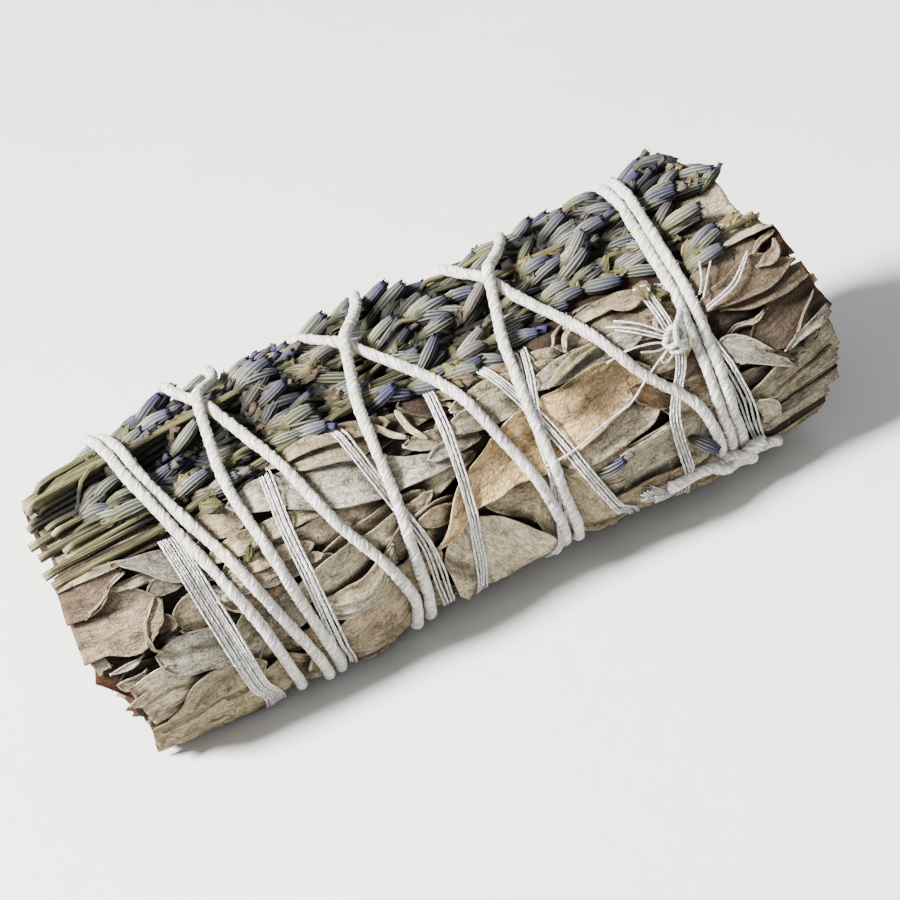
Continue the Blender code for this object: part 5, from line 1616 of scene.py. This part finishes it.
def make_inner_sprigs():
    """Each a woody stem with a leaf rolled round it, so that the ends show spirals and cut stems."""
    spots = []
    for offset, at, _ in INNER_SPRIGS:
        c, d = heading_of(at)
        spots.append(np.array((-offset * c, offset * d)))
    t = np.linspace(0, 1, 71)[None, :]
    for k, (spot, (_, _, outer), tint) in enumerate(zip(spots, INNER_SPRIGS, INNER_TINTS)):
        u = np.linspace(-54 + k % 3, 54 - k % 3, 31)[:, None]
        phi = TURN * ROLL_TURNS * t + 60 * k
        turn = np.radians(phi)
        spiral = 1.3 + (outer - 1.5) * t + 0.22 * noise(phi / 25, u / 14, 8 + k)
        spiral = spiral * (1 + (room_round(spot, spots, turn) / outer - 1) * t**1.3)
        x = u + 1.0 * noise(phi / 18, 1, 9 + k) * np.clip((np.abs(u) - 47) / 6, 0, 1)
        y = CENTRE_Y + spot[0] - spiral * np.cos(turn)
        z = AXIS_HEIGHT + spot[1] + spiral * np.sin(turn)
        sheet = np.stack(np.broadcast_arrays(CENTRE_X + x, y, z), -1) * MM
        # painted shade: the rolled leaves are darkened a little, as they lie inside the bundle
        inner_leaf(f"inner_sprig_{k + 1}", "sage_stem", sheet, 0.4, pairs(u, phi / 12), tint, 0.15)
        make_inner_stem(k, spot)


# ------------------------------------------------------------------ knots

# Paths of the knots: (x, angle, height above the surface)
TWINE_KNOT = (
    (43, -28.5, 0.8), (40.6, -29.5, 1.5), (38.2, -32.5, 2.2), (36.6, -35, 1.6),
    (37.2, -31.5, 0.9), (39.2, -30, 2.0), (40.6, -33.5, 2.3), (38.6, -36.5, 1.4),
    (36.4, -33, 2.2), (33.5, -28, 0.9), (30, -25, 0.6), (26.5, -21.5, 0.5),
)
TWINE_RETURN = ((36.6, -34.0, 1.0), (33, -29.5, 0.7), (29.5, -26.0, 0.6), (26.6, -22.8, 0.5))
TWINE_TAIL = ((39.5, -33.0, 1.6), (42.0, -34.0, 0.8), (44.2, -35.0, 0.5), (45.6, -37.0, 0.6))
FRAYED_END = ((28.0, -28, 0.6), (25.8, -25, 0.6), (23.4, -20, 0.5))
THREAD_KNOT = (
    ((36.8, 40, 0.5), (35.4, 37, 1.0), (34.0, 33, 0.9), (33.6, 30, 0.9), (35.0, 29, 1.5), (36.2, 32, 1.2),
     (35.6, 36, 0.9)),
    ((33.2, 34, 0.7), (34.0, 37.5, 1.4), (35.8, 38.5, 1.3), (36.4, 35, 1.8), (35.0, 32, 2.1), (33.4, 32, 1.4),
     (33.0, 35, 0.8)),
    ((35.8, 29, 0.6), (34.6, 33, 2.2), (35.0, 37, 1.9), (36.4, 40.5, 1.0), (37.4, 43, 0.6)),
)
# Radius of a thread's loose tail, and the tails' paths
TAIL_RADIUS = 0.17
THREAD_TAILS = (
    ((34.6, 34, 0.9), (31, 42, 0.5), (26.8, 50, 0.4)),
    ((34.8, 34.5, 1.0), (31.6, 43.5, 0.5), (28.2, 50.5, 0.4)),
    ((34.4, 33.6, 0.9), (30.6, 41, 0.6), (27.6, 47, 0.4)),
    ((34.4, 33, 0.9), (31, 36.6, 0.5), (27.5, 38, 0.4), (24.4, 37, 0.3)),
    ((34.4, 32.8, 0.9), (32.5, 32.6, 0.5), (29.6, 35, 0.4)),
    ((34.4, 31, 0.8), (33.6, 28.6, 0.6), (32.4, 26.8, 0.5), (31.8, 28.4, 0.6), (32.8, 30.6, 0.8),
     (34.2, 32.4, 0.9)),
    ((34.6, 34, 0.9), (36.4, 37, 0.8), (37.6, 42, 0.6)),
    ((34.2, 32.5, 0.9), (33.0, 31, 0.6), (30.5, 27.5, 0.5), (27.5, 23, 0.4), (24.5, 18.5, 0.35),
     (20, 16.5, 0.35), (15, 13, 0.4), (10.6, 11, 0.3)),
    ((40.8, 39.5, 0.6), (45, 42.5, 0.6), (49.8, 51.5, 0.5)),
    ((40.8, 38.5, 0.5), (45.4, 41.4, 0.6), (49.6, 50.4, 0.4)),
    ((41, 43, 0.5), (42.8, 49, 0.5), (45.4, 57.5, 0.4)),
    ((40.8, 45, 0.5), (42.2, 50, 0.5), (43.6, 58.5, 0.4)),
)


def on_surface(places, top, radius):
    """A line in metres through (x, angle, height above the surface) places."""
    knots = np.array([(x, arc(angle), lift) for x, angle, lift in places])
    fine = smooth_path(knots)
    angle = angle_of(fine[:, 1])
    return world(fine[:, 0], angle, read(top, fine[:, 0], angle) + fine[:, 2] + radius * 0.5)


def make_knots(top):
    """The twine's knot with its frayed tails, and the thread's knot with its straight ones."""
    level = blurred(highest(top, 0.8), 0.9)
    knot, tail, back, frayed = (
        on_surface(path, level, TWINE_RADIUS) for path in (TWINE_KNOT, TWINE_TAIL, TWINE_RETURN, FRAYED_END)
    )
    parts = [twine(line, 0.3, 18, seed) for line, seed in ((knot, 31), (tail, 32), (back, 33))]
    luck = np.random.default_rng(8)
    for k in range(40):
        stray = np.cumsum(luck.normal(0, 0.05, frayed.shape), axis=0) * 1.4 + luck.normal(0, 0.45, 3)
        grow = np.linspace(0.3, 1, len(frayed))[:, None]
        parts.append(strand(frayed + stray * grow * MM, 0.11, 2, 2.5, 0.5, 6, 40 + k))
    parts += [fuzz(line, TWINE_RADIUS, 120, 9) for line in (knot, frayed)]
    cotton_object("twine_knot", parts, *TWINE_LOOK)
    parts = [strand(on_surface(path, level, 0.3), 0.42, 2, 2.0, 0.3, 8, 51) for path in THREAD_KNOT]
    for k, path in enumerate(THREAD_TAILS):
        line = on_surface(path, level, THREAD_RADIUS)
        parts.append(strand(line, TAIL_RADIUS, 2, THREAD_PITCH, 0.4, 8, 60 + k))
    cotton_object("thread_knot", parts, *THREAD_LOOK)


# ------------------------------------------------------------------ the room

# Azimuth, elevation and roll in degrees, and the distance in metres
CAMERA_TURN = (-11.0, 33.0, 20.3)
CAMERA_DISTANCE = 0.390


def make_camera():
    """The photo's view: a long lens before the bundle, a little to the left and above."""
    azimuth, elevation, roll = (math.radians(v) for v in CAMERA_TURN)
    target = Vector((CENTRE_X, CENTRE_Y, AXIS_HEIGHT + 0.5)) * MM
    level = math.cos(elevation)
    back = Vector((math.sin(azimuth) * level, -math.cos(azimuth) * level, math.sin(elevation)))
    data = bpy.data.cameras.new("camera")
    data.lens = 108
    data.sensor_width = 36
    data.shift_x = 0.02
    data.shift_y = 0.008
    data.clip_start = 0.01
    camera = bpy.data.objects.new("camera", data)
    turn = back.to_track_quat("Z", "Y").to_matrix() @ Matrix.Rotation(-roll, 3, "Z")
    camera.matrix_world = Matrix.Translation(target + back * CAMERA_DISTANCE) @ turn.to_4x4()
    bpy.context.scene.collection.objects.link(camera)
    bpy.context.scene.camera = camera


def make_light(name, place, size, watts, colour):
    """A round lamp that points at the bundle."""
    data = bpy.data.lights.new(name, "AREA")
    data.shape = "DISK"
    data.size = size
    data.energy = watts
    data.color = colour
    lamp = bpy.data.objects.new(name, data)
    lamp.location = place
    lamp.rotation_mode = "QUATERNION"
    lamp.rotation_quaternion = (Vector(place) - Vector((0, 0, 0.02))).to_track_quat("Z", "Y")
    bpy.context.scene.collection.objects.link(lamp)


def make_room():
    """A floor to lie on, a lamp for the window, a weak one before the bundle, and light from all round."""
    corners = [(-3, -3, 0), (3, -3, 0), (3, 3, 0), (-3, 3, 0)]
    add_mesh("floor", corners, [[0, 1, 2, 3]], floor_material())
    make_light("window", (-0.60, -0.05, 0.66), 0.26, 72, (1, 0.985, 0.96))
    make_light("fill", (-0.3, -1.0, 0.6), 0.9, 2.6, (1, 1, 1))
    room = bpy.data.worlds.new("room")
    room.use_nodes = True
    background = room.node_tree.nodes["Background"]
    background.inputs["Color"].default_value = (0.95, 0.97, 1.0, 1)
    background.inputs["Strength"].default_value = 0.76
    bpy.context.scene.world = room


def main():
    """Everything from the inside out, since each layer is laid on the one below."""
    make_camera()
    make_room()
    make_inner_sprigs()
    make_wraps()
    surface = Surface(14.0)
    lay_leaves(surface)
    top = make_leaves(surface)
    make_thread(top)
    flowers = Surface(top)
    make_lavender(flowers)
    make_fallen_bits(Surface(top))
    make_twine(flowers.top)
    make_knots(top)


main()
